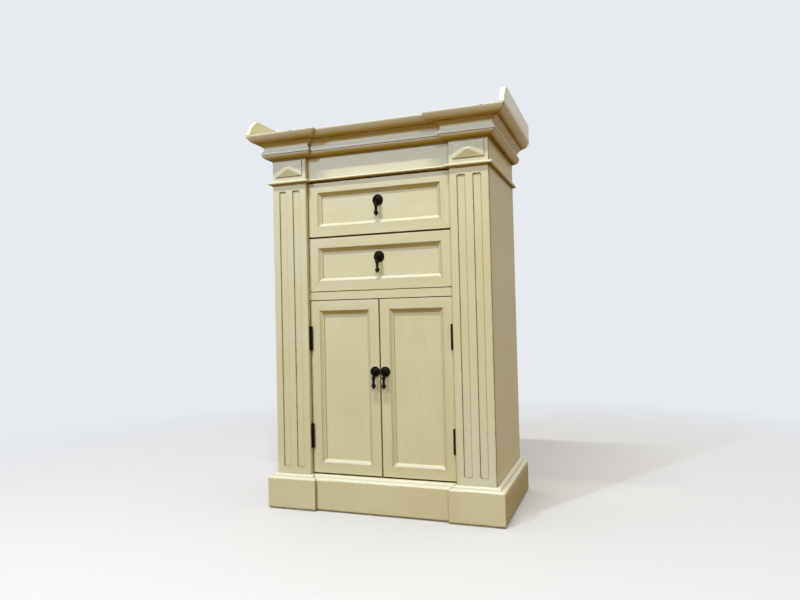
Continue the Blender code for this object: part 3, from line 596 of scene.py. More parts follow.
def chip_places(node, start, run_sign, run_length):
    """Extra places along a run so that its chips have points enough."""
    offsets = np.linspace(-0.005, 0.005, 26)
    found = [run_sign * (place[0] - start) + offsets for place, _, _ in CHIPS.get(node, ())]
    found = np.array(found).ravel()
    return found[(found > 0) & (found < run_length)]


def lay_length(node, rings, shares, glaze, wear, ends, **more):
    """Lays one length of a moulding over the model's node."""
    lay(moulding(rings, shares, seed_of(node), glaze, wear, ends, CHIPS.get(node, ()), **more), node,
        paint("moulding"))


def lay_center(node, inside, glaze, wear, end, step=0.06, **more):
    """Lays the straight length between the blocks: from the right block's last ring to its mirror image."""
    right = inside - np.array([MITRE_GAP, 0, 0])
    inner_x = belt_places()["inner_x"]
    run = 2 * (inner_x - MITRE_GAP)
    shares = run_shares(run, more=chip_places(node, -inner_x, 1, run), step=step)
    lay_length(node, [right * np.array([-1, 1, 1]), right], [shares], glaze, wear, (end, end), **more)


class CUPBOARD_OT_cornice(bpy.types.Operator):
    """Lays the stepped cornice: two returns, two fronts that turn in at the pilasters, and the center"""
    bl_idname = "cupboard.cornice"
    bl_label = "Cornice"

    def execute(self, context):
        at = belt_places()
        outline, glaze, wear, crack = cornice_profile()
        radius = sizes().mitre_round
        width, reach = at["outer_x"] - at["inner_x"], at["center_y"] - at["front_y"]
        inside = ring(outline, at["inner_x"], at["center_y"], -1, -1)
        for side, sign in SIDES:
            back = ring(outline, at["outer_x"], at["back_y"], 1, 0)
            turn = rounded_corner(outline, at["outer_x"], at["front_y"] + MITRE_GAP, 1, -1, (1, 0), (0, -1), radius,
                                  0, 45, 4)
            lay_length("cornice_" + side + "_side", flipped([back] + turn, sign),
                       [run_shares(at["back_y"] - at["front_y"])] + CORNER * 4, glaze, wear, (0, 0.2),
                       outward=-sign)
            node = "cornice_" + side + "_front"
            turn = rounded_corner(outline, at["outer_x"], at["front_y"], 1, -1, (1, 0), (0, -1), radius, 45, 90, 4)
            turn_in = rounded_corner(outline, at["inner_x"], at["front_y"], -1, -1, (0, -1), (-1, 0), radius)
            places = chip_places(node, sign * at["outer_x"], -sign, width)
            shares = (CORNER * 4 + [run_shares(width, more=places, step=CRACK_STEP)] + CORNER * 6
                      + [run_shares(reach)])
            # The front's inner end is darkened 7.5 mm along the return as painted shade; the right front's mitre holds
            # a dark crack.
            lay_length(node, flipped(turn + turn_in + [inside], sign), shares, glaze, wear,
                       (0.75 if sign > 0 else 0.15, 0.62), outward=-sign, break_width=0.0075,
                       crack_up=crack if sign > 0 else None)
        lay_center("cornice_center", inside, glaze, wear, 0.7, step=CRACK_STEP, crack_up=crack)
        return {"FINISHED"}


def belt(name, outline, glaze_and_shade_marks, wear_marks, projections, radius, return_glaze=0.0, lift=0.0):
    """Lays a belt of mouldings in three lengths; projections are those of the side, front, return and center.
    return_glaze is a line along the right block's inner arris; lift draws up the center's underside."""
    at = belt_places()
    side_out, front_out, return_out, center_out = projections
    glaze = section_notes(outline, glaze_and_shade_marks, front_out)
    wear = section_notes(outline, wear_marks, front_out)
    width, reach = at["outer_x"] - at["inner_x"], at["center_y"] - at["front_y"]
    inside = ring(outline, at["inner_x"], at["center_y"], -return_out, -center_out)
    end_glaze_and_shade = 0.6
    for side, sign in SIDES:
        node = name + "_" + side
        back = ring(outline, at["outer_x"], at["back_y"], side_out, 0)
        turn = rounded_corner(outline, at["outer_x"], at["front_y"], side_out, -front_out, (1, 0), (0, -1), radius)
        turn_in = rounded_corner(outline, at["inner_x"], at["front_y"], -return_out, -front_out, (0, -1), (-1, 0),
                                 radius)
        places = chip_places(node, sign * at["outer_x"], -sign, width)
        shares = ([run_shares(at["back_y"] - at["front_y"])] + CORNER * 6 + [run_shares(width, more=places)]
                  + CORNER * 6 + [run_shares(reach)])
        arris = ((reach + front_out - center_out, return_glaze, 0.0022),) if sign > 0 else ()
        lay_length(node, flipped([back] + turn + turn_in + [inside], sign), shares, glaze, wear, (0, end_glaze_and_shade),
                   outward=-sign, lines=arris)
    head, foot = inside[:, 2].max(), inside[:, 2].min()
    inside[:, 2] = head - (head - inside[:, 2]) * (1 - lift / (head - foot))
    lay_center(name + "_center", inside, glaze, wear, end_glaze_and_shade)


class CUPBOARD_OT_plinth(bpy.types.Operator):
    """Lays the plinth: a plain face with a rounded foot under a stepped moulding, with blocks at the pilasters"""
    bl_idname = "cupboard.plinth"
    bl_label = "Plinth"

    def execute(self, context):
        low, high = low_high("plinth_right")
        at = belt_places()
        projections = (high[0] - at["outer_x"], at["front_y"] - low[1], at["inner_x"] - low[0],
                       at["center_y"] - low_high("plinth_center")[0][1])
        ground, head, face_top = low[2], high[2], low[2] + 0.080
        foot = ground + sizes().plinth_lift
        rows = np.array(PLINTH_TOP_SECTION)
        # The projections are shares here, so a rounding is given in shares as well.
        reach = np.where(rows[:, 2] >= 1, 1, rows[:, 2] * 0.6)
        top = np.stack([rows[:, 0], face_top + rows[:, 1] * (head - face_top), reach], axis=-1)
        shadow_strip = PLINTH_SHADOW_STRIP
        foot_rows = [(0.0, ground, 0.0), (shadow_strip, ground, 0.0), (shadow_strip, foot, 0.0), (0.93, foot, 0.02),
                     (0.985, foot + 0.0009, 0.05), (1.0, foot + 0.0035, 0.05)]
        outline = softened_shares(np.concatenate([foot_rows, top]), 0.018)
        # The last glaze mark paints the shadow in the strip under the foot.
        glaze_and_shade_marks = [(0.545, face_top + 0.45 * (head - face_top), 0.55, 0.0008), (0.03, head, 0.5, 0.0012),
                       (1.0, face_top + 0.0006, 0.16, 0.0014), (shadow_strip, ground + 0.0012, 1.0, 0.0030)]
        wear_marks = [(1.0, face_top, 0.9, 0.0013), (1.0, foot + 0.0032, 0.7, 0.0014)]
        belt("plinth", outline, glaze_and_shade_marks, wear_marks, projections, sizes().mitre_round, return_glaze=1.0)
        return {"FINISHED"}


def softened_shares(rows, scale):
    """Softens an outline whose u is a share of a projection about as long as scale, and gives u back as a share."""
    rows = np.array(rows, float)
    outline = softened(np.stack([rows[:, 0] * scale, rows[:, 1], rows[:, 2] * scale], axis=-1), steps=4)
    outline[:, 0] /= scale
    return outline


class CUPBOARD_OT_bead(bpy.types.Operator):
    """Lays the half-round bead under the frieze, round both pilasters"""
    bl_idname = "cupboard.bead"
    bl_label = "Bead"

    def execute(self, context):
        low, high = low_high("bead_right")
        out = high[0] - belt_places()["outer_x"]
        radius = (high[2] - low[2]) / 2
        angles = np.radians(np.linspace(-90, 90, 15))
        nose = np.stack([(out - radius + radius * np.cos(angles)) / out, low[2] + radius * (1 + np.sin(angles)),
                         np.full(15, 1.0)], axis=-1)
        nose[[0, -1], 2] = 0.01
        outline = softened_shares(np.concatenate([[(0.0, low[2], 0.0)], nose, [(0.0, high[2], 0.0)]]), out)
        # The first glaze mark paints the shadow under the bead; the second is glaze along its seat.
        belt("bead", outline, [(0.15, low[2], 1.0, 0.0032), (0.0, high[2], 0.3, 0.0009)],
             [(1.0, low[2] + radius, 0.25, 0.0013)], (out, out, out, out), 0.0008, lift=0.0018)
        return {"FINISHED"}


# Pilasters ---------------------------------------------------------------------------------------------------

LEAF_PLAY = 0.0004      # round a hinge leaf in its pocket


def flute_cut(x, z, middle, low_z, high_z):
    """Depth, painted shade and wear of one flute.

    d is the distance from its outline, a rectangle with rounded corners, less than 0 inside. The depth is
    flute_depth * smooth_step(-d / lean); the glaze is painted shade, a soft dark line at the foot of the slope and a
    wider one inside the flute's top end, and wear is a line at its head.
    """
    s = sizes()
    half = np.array([s.flute_width / 2, (high_z - low_z) / 2])
    qx = np.abs(x - middle) - half[0] + s.flute_corner
    qz = np.abs(z - (low_z + high_z) / 2) - half[1] + s.flute_corner
    d = np.hypot(np.maximum(qx, 0), np.maximum(qz, 0)) + np.minimum(np.maximum(qx, qz), 0) - s.flute_corner
    depth = s.flute_depth * smooth_step(-d / s.flute_lean)
    foot = hump(d + s.flute_lean * 0.85, 0.0010)
    top = hump(z - high_z + 0.0012, 0.0014) * (d < 0)
    glaze = np.maximum(0.90 * foot, top)
    wear = 0.55 * hump(d - 0.0001, 0.0006)
    return depth, glaze, wear


def tablet_cut(x, z, middle_x, box, sign):
    """Depth, painted shade and wear of the raised tablet with its low pyramid; it stands proud, so the depth is below
    0.

    t is the distance inside its outline and m = (|u|^18 + |v|^18)^(1/18), where u and v are the shares of the
    half sizes. The height is (rim + (peak - rim) (1 - min(m, 1))) * smooth_step(t / lean).
    """
    s = sizes()
    low_x, high_x, low_z, high_z = box
    half_x, half_z = (high_x - low_x) / 2, (high_z - low_z) / 2
    off_x, off_z = np.abs(x - middle_x), np.abs(z - (low_z + high_z) / 2)
    lean = 0.0004
    u, v = off_x / (half_x - 2 * lean), off_z / (half_z - 2 * lean)
    m = (u ** 18 + v ** 18) ** (1 / 18)
    inside = smooth_step(np.minimum(half_x - off_x, half_z - off_z) / lean)
    height = (s.tablet_rim + (s.tablet_peak - s.tablet_rim) * (1 - np.clip(m, 0, 1))) * inside
    in_x, in_z = smooth_step((half_x + 0.0007 - off_x) / lean), smooth_step((half_z + 0.0007 - off_z) / lean)
    # The glaze is painted shade: dark lines along the tablet's foot, strongest below it and on its right side, fainter
    # above and on its left.
    glaze = np.max([in_x * hump(z - low_z, 0.0009), 0.30 * in_x * hump(z - high_z - 0.0003, 0.0006),
                    (0.95 if sign < 0 else 0.70) * in_z * hump(x - high_x, 0.0008),
                    0.35 * in_z * hump(x - low_x + 0.0003, 0.0006)], axis=0)
    arris = 0.12 + 0.5 * (x > middle_x) * (z > (low_z + high_z) / 2)
    return -height, glaze, arris * hump((u - v) * half_z, 0.0007) * inside


class CUPBOARD_OT_pilasters(bpy.types.Operator):
    """Lays the two pilasters, each with two flutes, a tablet with a pyramid, and pockets for its hinge leaves"""
    bl_idname = "cupboard.pilasters"
    bl_label = "Pilasters"

    def execute(self, context):
        s = sizes()
        plinth_head = low_high("plinth_right")[1][2]
        bead_low, bead_high = low_high("bead_right")
        cornice_foot = low_high("cornice_center")[0][2]
        pocket_start = low_high("frieze_board")[0][1] - 0.0088
        flute_low, flute_high = plinth_head + s.flute_end, bead_low[2] - s.flute_end - 0.0015
        for side, sign in SIDES:
            node = side + "_pilaster"
            low, high = low_high(node)
            land = (high[0] - low[0] - 2 * s.flute_width) / 3
            middles = [low[0] + land * (k + 1) + s.flute_width * (k + 0.5) for k in range(2)]
            box = (low[0] + s.tablet_side, high[0] - s.tablet_side, bead_high[2] + s.tablet_below,
                   cornice_foot - s.tablet_above)
            leaves = [low_high(side + "_" + place + "_hinge_case_leaf") for place in ("lower", "upper")]
            pockets = [(a[2] - LEAF_PLAY, b[2] + LEAF_PLAY) for a, b in leaves]
            pocket_y = (pocket_start, leaves[0][1][1] + LEAF_PLAY)

            def carve(face, p):
                x, y, z = p[..., 0], p[..., 1], p[..., 2]
                depth, wear = 0.0, 0.0
                glaze = 0.55 * hump(z - plinth_head, 0.0010)
                if face == "-y":
                    cuts = [flute_cut(x, z, middle, flute_low, flute_high) for middle in middles]
                    cuts.append(tablet_cut(x, z, (low[0] + high[0]) / 2, box, sign))
                    depth = np.sum([cut[0] for cut in cuts], axis=0)
                    glaze = np.max([glaze] + [cut[1] for cut in cuts], axis=0)
                    wear = np.max([cut[2] for cut in cuts], axis=0)
                    if sign > 0:
                        # On the right pilaster, painted shade along its inner arris beside the door, and brown rubbing
                        # along its outer arris, below the bead.
                        uneven = 0.5 + 0.5 * np.sin(z * 41) * np.sin(z * 97 + 1.7)
                        rub = (0.35 + 0.60 * uneven) * hump(x - high[0], 0.0018)
                        glaze = np.maximum(glaze, np.maximum(hump(x - low[0], 0.0011), rub) * (z < bead_low[2]))
                if face == ("-x" if sign > 0 else "+x"):
                    # Painted shade on the inner return, deepening towards the back.
                    glaze = np.maximum(glaze, 0.55 * smooth_step((y - low[1] - 0.001) / 0.014))
                    inside = within(y, pocket_y) & (within(z, pockets[0]) | within(z, pockets[1]))
                    depth = np.where(inside, s.leaf_pocket, 0.0)
                if face in ("-x", "+x"):
                    # Painted shadow under the bead, on the pilaster's sides.
                    glaze = np.maximum(glaze, 0.8 * hump(z - bead_low[2], 0.0012))
                if face == "+x" and sign > 0:
                    glaze = np.maximum(glaze, 0.95 * hump(y - low[1], 0.0070))
                return depth, glaze, wear

            fine = np.concatenate([np.linspace(0, s.flute_lean, 7), [0.0013, 0.0020]])
            inner = np.concatenate([fine, np.arange(0.0, s.flute_corner + 0.0008, 0.00045)])
            outer, skirt = np.array([0.0003, 0.0008, 0.0016]), np.array([0.0003, 0.0007, 0.0012])
            half = s.flute_width / 2
            lines_x = [bounded(middle - half, middle + half, inner, outer) for middle in middles]
            lines_x += [np.linspace(box[0], box[1], 68), bounded(box[0], box[1], fine / 2, skirt)]
            lines_y = [around(pocket_y, [0.00002]), low[1] + np.array([0.004, 0.007, 0.010, 0.0135])]
            lines_z = [bounded(flute_low, flute_high, inner, outer), np.linspace(box[2], box[3], 42),
                       bounded(box[2], box[3], fine / 2, skirt), around(pockets[0] + pockets[1], [0.00002]),
                       around([plinth_head, bead_low[2]], [0.0, 0.0006, 0.0012, 0.0022])]
            item = board(low, high, s.arris, 2, seed_of(node), square=("+y", "-z", "+z"), carve=carve,
                         lines=[np.concatenate(lines) for lines in (lines_x, lines_y, lines_z)])
            lay(item, node, paint("case"), crease=50)
        return {"FINISHED"}


# Case boards -------------------------------------------------------------------------------------------------

GALLERY_THIN = 0.0030   # what the gallery's side boards are thinner than the model's


def finish_inside(node, material):
    """Gives one of the model's own pieces a material in place of its plain one."""
    materials = frame["nodes"][node].data.materials
    materials.clear()
    materials.append(material)


class CUPBOARD_OT_case_boards(bpy.types.Operator):
    """Lays the side panels, the frieze, the rail over the doors and the gallery's back board"""
    bl_idname = "cupboard.case_boards"
    bl_label = "Case boards"

    def execute(self, context):
        s = sizes()
        material = paint("case")
        shelf_low, shelf_high = low_high("cupboard_shelf")
        groove_y = (shelf_low[1] - 0.0003, shelf_high[1])
        groove_z = (shelf_low[2] - 0.0003, shelf_high[2] + 0.0003)
        for side, sign in SIDES:

            def groove(face, p):
                inside = within(p[..., 1], groove_y) & within(p[..., 2], groove_z)
                return np.where(inside & (face == ("-x" if sign > 0 else "+x")), 0.006, 0.0), 0.0, 0.0

            plank(side + "_side_panel", s.seam_arris, 2, "case", material, carve=groove,
                  lines=((), around(groove_y, [0.00002]), around(groove_z, [0.00002])))
        low, high = low_high("frieze_board")
        seats = [low_high("bead_center")[1][2], low_high("cornice_center")[0][2]]

        def frieze_glaze_and_shade(face, p):
            x, z = p[..., 0], p[..., 2]
            from_ends = np.minimum(x - low[0], high[0] - x)
            from_seats = np.min([np.abs(z - seat) for seat in seats], axis=0)
            # Painted shadow on the frieze's lowest 3.4 mm, which shows in the gap under the bead.
            shadow = smooth_step((low[2] + 0.0034 - z) / 0.0008)
            return 0.0, np.max([0.8 * hump(from_ends, 0.0012), 0.45 * hump(from_seats, 0.0010), shadow], axis=0), 0.0

        lines = np.concatenate([around(seats, [0, 0.0006, 0.0012, 0.002]),
                                low[2] + np.array([0.0022, 0.0026, 0.0030, 0.0034, 0.0038])])
        plank("frieze_board", s.seam_arris, 0, "case", material, lines=((), (), lines), carve=frieze_glaze_and_shade)
        rail_face = low_high("door_rail")[0][1]

        def rail_gap_shade(face, p):
            # Painted shade on the rail's top and bottom behind its face, in the gaps beside the fronts.
            return 0.0, smooth_step((p[..., 1] - rail_face - 0.0006) / 0.001) * (face in ("-z", "+z")), 0.0

        plank("door_rail", 0.0006, 0, "case", material, square=("+y",), carve=rail_gap_shade)
        low, high = low_high("gallery_back")
        overlap = np.array([GALLERY_THIN - 0.0001, 0, 0])
        lay(board(low - overlap, high + overlap, s.arris, 0, seed_of("gallery_back")), "gallery_back",
            material)
        finish_inside("top_board", paint("case", follows="object"))
        return {"FINISHED"}


class CUPBOARD_OT_gallery(bpy.types.Operator):
    """Lays the gallery's two side boards, whose front ends curve as |u|^p + |v|^p = 1 with p under 2"""
    bl_idname = "cupboard.gallery"
    bl_label = "Gallery"

    def execute(self, context):
        s = sizes()
        for side, sign in SIDES:
            node = "gallery_" + side
            low, high = low_high(node)
            low[0], high[0] = (low[0] + GALLERY_THIN, high[0]) if sign > 0 else (low[0], high[0] - GALLERY_THIN)
            angles = np.radians(np.linspace(0, 90, 40))
            power = 2 / s.gallery_power
            nose_y = low[1] + s.gallery_round * (1 - np.sin(angles) ** power)
            nose_z = low[2] + (high[2] - low[2]) * np.cos(angles) ** power
            y = np.concatenate([np.full(5, high[1]), np.linspace(high[1], nose_y[0], 10)[:-1], nose_y,
                                np.linspace(low[1], high[1], 12)[1:-1]])
            z = np.concatenate([np.linspace(low[2], high[2], 6)[:-1], np.full(9, high[2]), nose_z,
                                np.full(10, low[2])])
            lay(plate(y, z, low[0], high[0], 0.0016, seed_of(node)), node, paint("case"), crease=35)
        return {"FINISHED"}


def plate(y, z, low_x, high_x, radius, seed):
    """A board cut to an outline in y and z, with rounded arrises.

    The outline is drawn in by radius (1 - cos f) while x runs radius (1 - sin f) from the face, for f from 90 to
    0 degrees on each side; its foot stays sharp, because it stands on another board.
    """
    outline = np.stack([y, z], axis=-1)
    slope = np.roll(outline, -1, axis=0) - np.roll(outline, 1, axis=0)
    slope /= np.linalg.norm(slope, axis=-1, keepdims=True)
    area = np.sum(y * np.roll(z, -1) - np.roll(y, -1) * z)
    inward = np.stack([-slope[:, 1], slope[:, 0]], axis=-1) * np.sign(area)
    standing = smooth_step((z - z.min()) / 0.003)
    angles = np.radians([90, 75, 60, 45, 30, 15])
    draw, run = radius * (1 - np.cos(angles)), radius * (1 - np.sin(angles))
    draw = np.concatenate([[draw[0] + 0.0004], draw, [0, 0], draw[::-1], [draw[0] + 0.0004]])
    x = np.concatenate([[low_x], low_x + run, [low_x + radius, high_x - radius], high_x - run[::-1], [high_x]])
    edge = np.array([0.3, 0.5, 0.75, 1, 1, 0.6, 0.2, 0, 0, 0.2, 0.6, 1, 1, 0.75, 0.5, 0.3])
    flat = outline + draw[:, None, None] * inward * standing[:, None]
    grid = np.concatenate([np.broadcast_to(x[:, None, None], flat.shape[:2] + (1,)), flat], axis=-1)
    return sheet(grid, close_columns=True, capped=True, wear=edge[:, None] * standing * 0.8,
                 stroke=(grid[..., 1] + seed, grid[..., 2] + seed * 0.7, grid[..., 0]))


# Door and drawer fronts --------------------------------------------------------------------------------------

MITRES = {
    # from the lower left corner round by the lower right
    "upper_drawer": (0.20, 0.85, 0.15, 0.10),
    "lower_drawer": (0.75, 0.15, 0.10, 0.10),
    "left_door": (0.10, 0.15, 0.10, 0.10),
    "right_door": (0.10, 0.10, 0.15, 0.10),
}
TRIMS = {
    # below, above, left and right
    "upper_drawer": (0.0006, 0.0012, 0.0, 0.0), "lower_drawer": (0.0001, 0.0006, 0.0, 0.0),
    "left_door": (0.0018, 0.0005, 0.0003, 0.0009), "right_door": (0.0018, 0.0005, 0.0009, 0.0003),
}


def frame_section(thickness):
    """A frame's section as rows (inset from its outer edge, depth behind its face), with glaze, painted shade and wear.
    """
    s = sizes()
    inner = s.frame_width + s.moulding_width
    rows = [
        (0.0, thickness, 0.0003), (0.0, thickness - 0.0014, 0.0), (0.0, thickness - 0.0015, 0.0),
        (0.0, 0.0, 0.0009),
        (s.frame_width - 0.0002, 0.0, 0.0004), (s.frame_width + 0.0002, 0.00075, 0.0001),
        (s.frame_width + 0.0007, 0.0004, 0.0003), (inner - 0.0009, s.moulding_depth - 0.0009, 0.0010),
        (inner, s.moulding_depth - 0.0006, 0.0003), (inner, s.panel_setback - 0.0003, 0.0001),
        (inner - s.rebate_lap, s.panel_setback - 0.0003, 0.0001), (inner - s.rebate_lap, thickness, 0.0003),
    ]
    outline = softened(rows, steps=4)
    glaze = section_notes(outline, [(s.frame_width + 0.0002, 0.00075, 0.85, 0.0007),
                                    (inner, s.panel_setback, 0.9, 0.0007)])
    wear = section_notes(outline, [(0.0, 0.0, 1.0, 0.0011), (s.frame_width - 0.0002, 0.0, 0.35, 0.0011)])
    # Painted shade on the frame's outer edge, from 0.7 mm behind the face, so that the gaps between the fronts read
    # dark.
    edge = 0.55 * (outline[:, 0] < 0.0002) * smooth_step((outline[:, 1] - 0.0007) / 0.0008)
    glaze = np.maximum(glaze, edge)
    return outline, glaze, wear


def framed(node, mitres, trims, leaves=(), sign=0):
    """A frame: its section carried round a rectangle, P = corner + inset * (inward directions), with the depth
    going into the wood. mitres gives how dark the glaze lies in each corner's mitre, from the lower left round.
    trims are what is planed off below, above, left and right. leaves are heights (low, high) where the edge on the
    side of sign is let in for a hinge leaf."""
    s = sizes()
    low, high = low_high(node)
    thickness = high[1] - low[1]
    outline, glaze_and_shade_up, wear_up = frame_section(thickness)
    inset, depth = outline[:, 0], outline[:, 1]
    low += (trims[2], 0, trims[0])
    high -= (trims[3], 0, trims[1])
    pieces, runs, darks = [], [], []
    spans = [high[0] - low[0], high[2] - low[2]] * 2
    starts = ((low[0], low[2], 1, 0), (high[0], low[2], 0, 1), (high[0], high[2], -1, 0), (low[0], high[2], 0, -1))
    for k, (x, z, go_x, go_z) in enumerate(starts):
        near = np.array([0.0, 0.00025, 0.0005, 0.0012, 0.004]) / spans[k]
        shares = np.concatenate([near, np.linspace(0.03, 0.97, 9), (1 - near)[::-1][:-1]])
        pocketed = len(leaves) and go_z == sign
        if pocketed:
            height = np.concatenate([around(np.array(leaf), [0.00002]) for leaf in leaves])
            shares = np.unique(np.concatenate([shares, (height - z) / (go_z * spans[k])]))
        from_start, from_end = shares[:, None] * spans[k], (1 - shares[:, None]) * spans[k]
        # The lines next to a mitre run along it, and the ones in the middle straight across.
        lean = smooth_step((from_end - 0.004) / 0.05) - smooth_step((from_start - 0.004) / 0.05)
        grid_x = x + go_x * from_start + inset * (-go_z + go_x * lean)
        grid_z = z + go_z * from_start + inset * (go_x + go_z * lean)
        if pocketed:
            heights = z + go_z * from_start
            inside = np.any([within(heights, leaf) for leaf in leaves], axis=0)
            lip = (inset < s.leaf_pocket) & (depth < thickness - 0.00145)
            grid_x = np.where(inside & lip, x - go_z * s.leaf_pocket, grid_x)
        pieces.append(np.stack(np.broadcast_arrays(grid_x, low[1] + depth, grid_z), axis=-1))
        darks.append(mitres[k] * hump(from_start, 0.00035) + mitres[(k + 1) % 4] * hump(from_end, 0.00035))
        runs.append(from_start + sum(spans[:k]) + 3.1 * k)
    run, seed = np.concatenate(runs), seed_of(node)
    dark = np.concatenate(darks) * ((depth < 0.0006) & (inset < s.frame_width))
    return sheet(np.concatenate(pieces), True, True, glaze=np.maximum(glaze_and_shade_up, dark), wear=wear_up,
                 stroke=(run + seed, inset + seed * 0.7, depth + seed * 0.3))


def lay_panel(name, grain):
    """Lays the flat panel behind a frame: a board whose face is glazed where it meets the moulding."""
    inner = sizes().frame_width + sizes().moulding_width
    low, high = low_high(name + "_frame")
    sight_x, sight_z = (low[0] + inner, high[0] - inner), (low[2] + inner, high[2] - inner)

    def carve(face, p):
        x, z = p[..., 0], p[..., 2]
        ends = np.min([np.abs(z - edge) for edge in sight_z], axis=0)
        glaze = np.max([0.85 * hump(x - sight_x[0], 0.0016), 0.75 * hump(x - sight_x[1], 0.0010),
                        0.75 * hump(ends, 0.0010)], axis=0)
        return 0.0, glaze * (face == "-y"), 0.0

    near = [0.0, 0.0004, 0.0008, 0.0014, 0.0022, 0.0040]
    plank(name + "_panel", 0.0004, grain, "panel", paint("panel"), carve=carve,
          lines=(around(sight_x, near), (), around(sight_z, near)))


class CUPBOARD_OT_drawer_fronts(bpy.types.Operator):
    """Lays the drawers' mitred frames and their flat panels"""
    bl_idname = "cupboard.drawer_fronts"
    bl_label = "Drawer fronts"

    def execute(self, context):
        for name in FRONTS[:2]:
            lay(framed(name + "_frame", MITRES[name], TRIMS[name]), name + "_frame", paint("front"),
                crease=50)
            lay_panel(name, 0)
        return {"FINISHED"}


class CUPBOARD_OT_doors(bpy.types.Operator):
    """Lays the doors' mitred frames, let in for the hinge leaves, and their flat panels"""
    bl_idname = "cupboard.doors"
    bl_label = "Doors"

    def execute(self, context):
        for side, sign in SIDES:
            name = side + "_door"
            leaves = [low_high(side + "_" + place + "_hinge_door_leaf") for place in ("lower", "upper")]
            leaves = [(low[2] - 0.0003, high[2] + 0.0003) for low, high in leaves]
            lay(framed(name + "_frame", MITRES[name], TRIMS[name], leaves, sign), name + "_frame",
                paint("front"), crease=50)
            lay_panel(name, 2)
        return {"FINISHED"}


class CUPBOARD_OT_drawer_boxes(bpy.types.Operator):
    """Lays the drawers' bare sides, backs and plywood bottoms"""
    bl_idname = "cupboard.drawer_boxes"
    bl_label = "Drawer boxes"

    def execute(self, context):
        for name in FRONTS[:2]:
            for part, grain, finish in (("left_side", 1, "wood"), ("right_side", 1, "wood"), ("back", 0, "wood"),
                                        ("bottom", 0, "plywood")):
                plank(name + "_" + part, 0.0007, grain, finish, timber(finish))
        return {"FINISHED"}


class CUPBOARD_OT_inside(bpy.types.Operator):
    """Lays the shelf and the door catch, and finishes the boards inside the case"""
    bl_idname = "cupboard.inside"
    bl_label = "Inside"

    def execute(self, context):
        plank("cupboard_shelf", 0.0009, 0, "wood", timber("wood"))
        plank("door_catch", 0.0016, 0, "catch", catch_plastic())
        for node, finish, grain in (("cupboard_floor", "wood", "X"), ("dust_board", "wood", "X"),
                                    ("left_runner_board", "wood", "Y"), ("right_runner_board", "wood", "Y"),
                                    ("back_panel", "plywood", "X")):
            finish_inside(node, timber(finish, follows=grain))
        return {"FINISHED"}


# Hinges and pulls --------------------------------------------------------------------------------------------

DRAWER_ROSE, DOOR_ROSE = 0.0146, 0.0133     # the radii of the roses' rims
PROFILE_RIM = 0.0139                        # and that of the profile that is stretched to them
ROSE_PROFILE = (
    # radius, height, rounding
    (0.0, 0.0064, 0), (0.0042, 0.0063, 0.002), (0.0050, 0.00575, 0.0002), (0.0056, 0.0060, 0.0006),
    (0.0080, 0.00510, 0.002), (0.0098, 0.00385, 0.0015), (0.0110, 0.00225, 0.0006), (0.01135, 0.0014, 0.0002),
    (0.01165, 0.0014, 0.0002), (0.0119, 0.00235, 0.0005), (0.0127, 0.0028, 0.0006), (0.0136, 0.0023, 0.0006),
    (PROFILE_RIM, 0.0014, 0.0005), (PROFILE_RIM, 0.0, 0.0001), (0.0, 0.0, 0),
)
DROP_PROFILE = (
    (0.0, -0.0046, 0), (0.0018, -0.0047, 0.0003), (0.0026, -0.0056, 0.0006), (0.0027, -0.0098, 0.002),
    (0.0032, -0.0126, 0.0006), (0.0050, -0.0134, 0.0004), (0.0060, -0.0148, 0.0005), (0.0060, -0.0166, 0.0005),
    (0.0050, -0.0180, 0.0005), (0.0036, -0.0186, 0.0003), (0.0037, -0.0198, 0.0008), (0.0037, -0.0215, 0.003),
    (0.0034, -0.0250, 0.003), (0.0031, -0.0278, 0.002), (0.0033, -0.0292, 0.0008), (0.0044, -0.0298, 0.0003),
    (0.0044, -0.0306, 0.0003), (0.0038, -0.0312, 0.0003), (0.0054, -0.0332, 0.0010), (0.0066, -0.0356, 0.0008),
    (0.0058, -0.0378, 0.0012), (0.0037, -0.0404, 0.001), (0.0022, -0.0426, 0.0006), (0.0014, -0.0438, 0.0004),
    (0.0, -0.0445, 0),
)
TO_FRONT = ((1, 0, 0), (0, 0, -1), (0, 1, 0))   # a turned piece's height points out of the front
TO_SIDE = ((0, 0, 1), (1, 0, 0), (0, 1, 0))     # and here along x


def turned(line, steps, wear=None, closed=False):
    """A turned shell about Z: P = (r cos a, r sin a, h) for a line of (radius, height), from pole to pole or closed.
    Wear is the radius over the greatest one where it isn't given."""
    line = np.asarray(line, float)
    radius, height = line[:, :1], line[:, 1:2]
    angles = np.linspace(0, 2 * np.pi, steps, endpoint=False)
    grid = np.stack(np.broadcast_arrays(radius * np.cos(angles), radius * np.sin(angles), height), axis=-1)
    wear = radius / radius.max() if wear is None else wear[:, None]
    return facing_out(welded(sheet(grid, closed, True, wear=wear)))


def moved(item, matrix, shift):
    """The shell with each point turned by a matrix and then shifted."""
    item = dict(item)
    item["points"] = item["points"] @ np.asarray(matrix, float).T + np.asarray(shift, float)
    return item


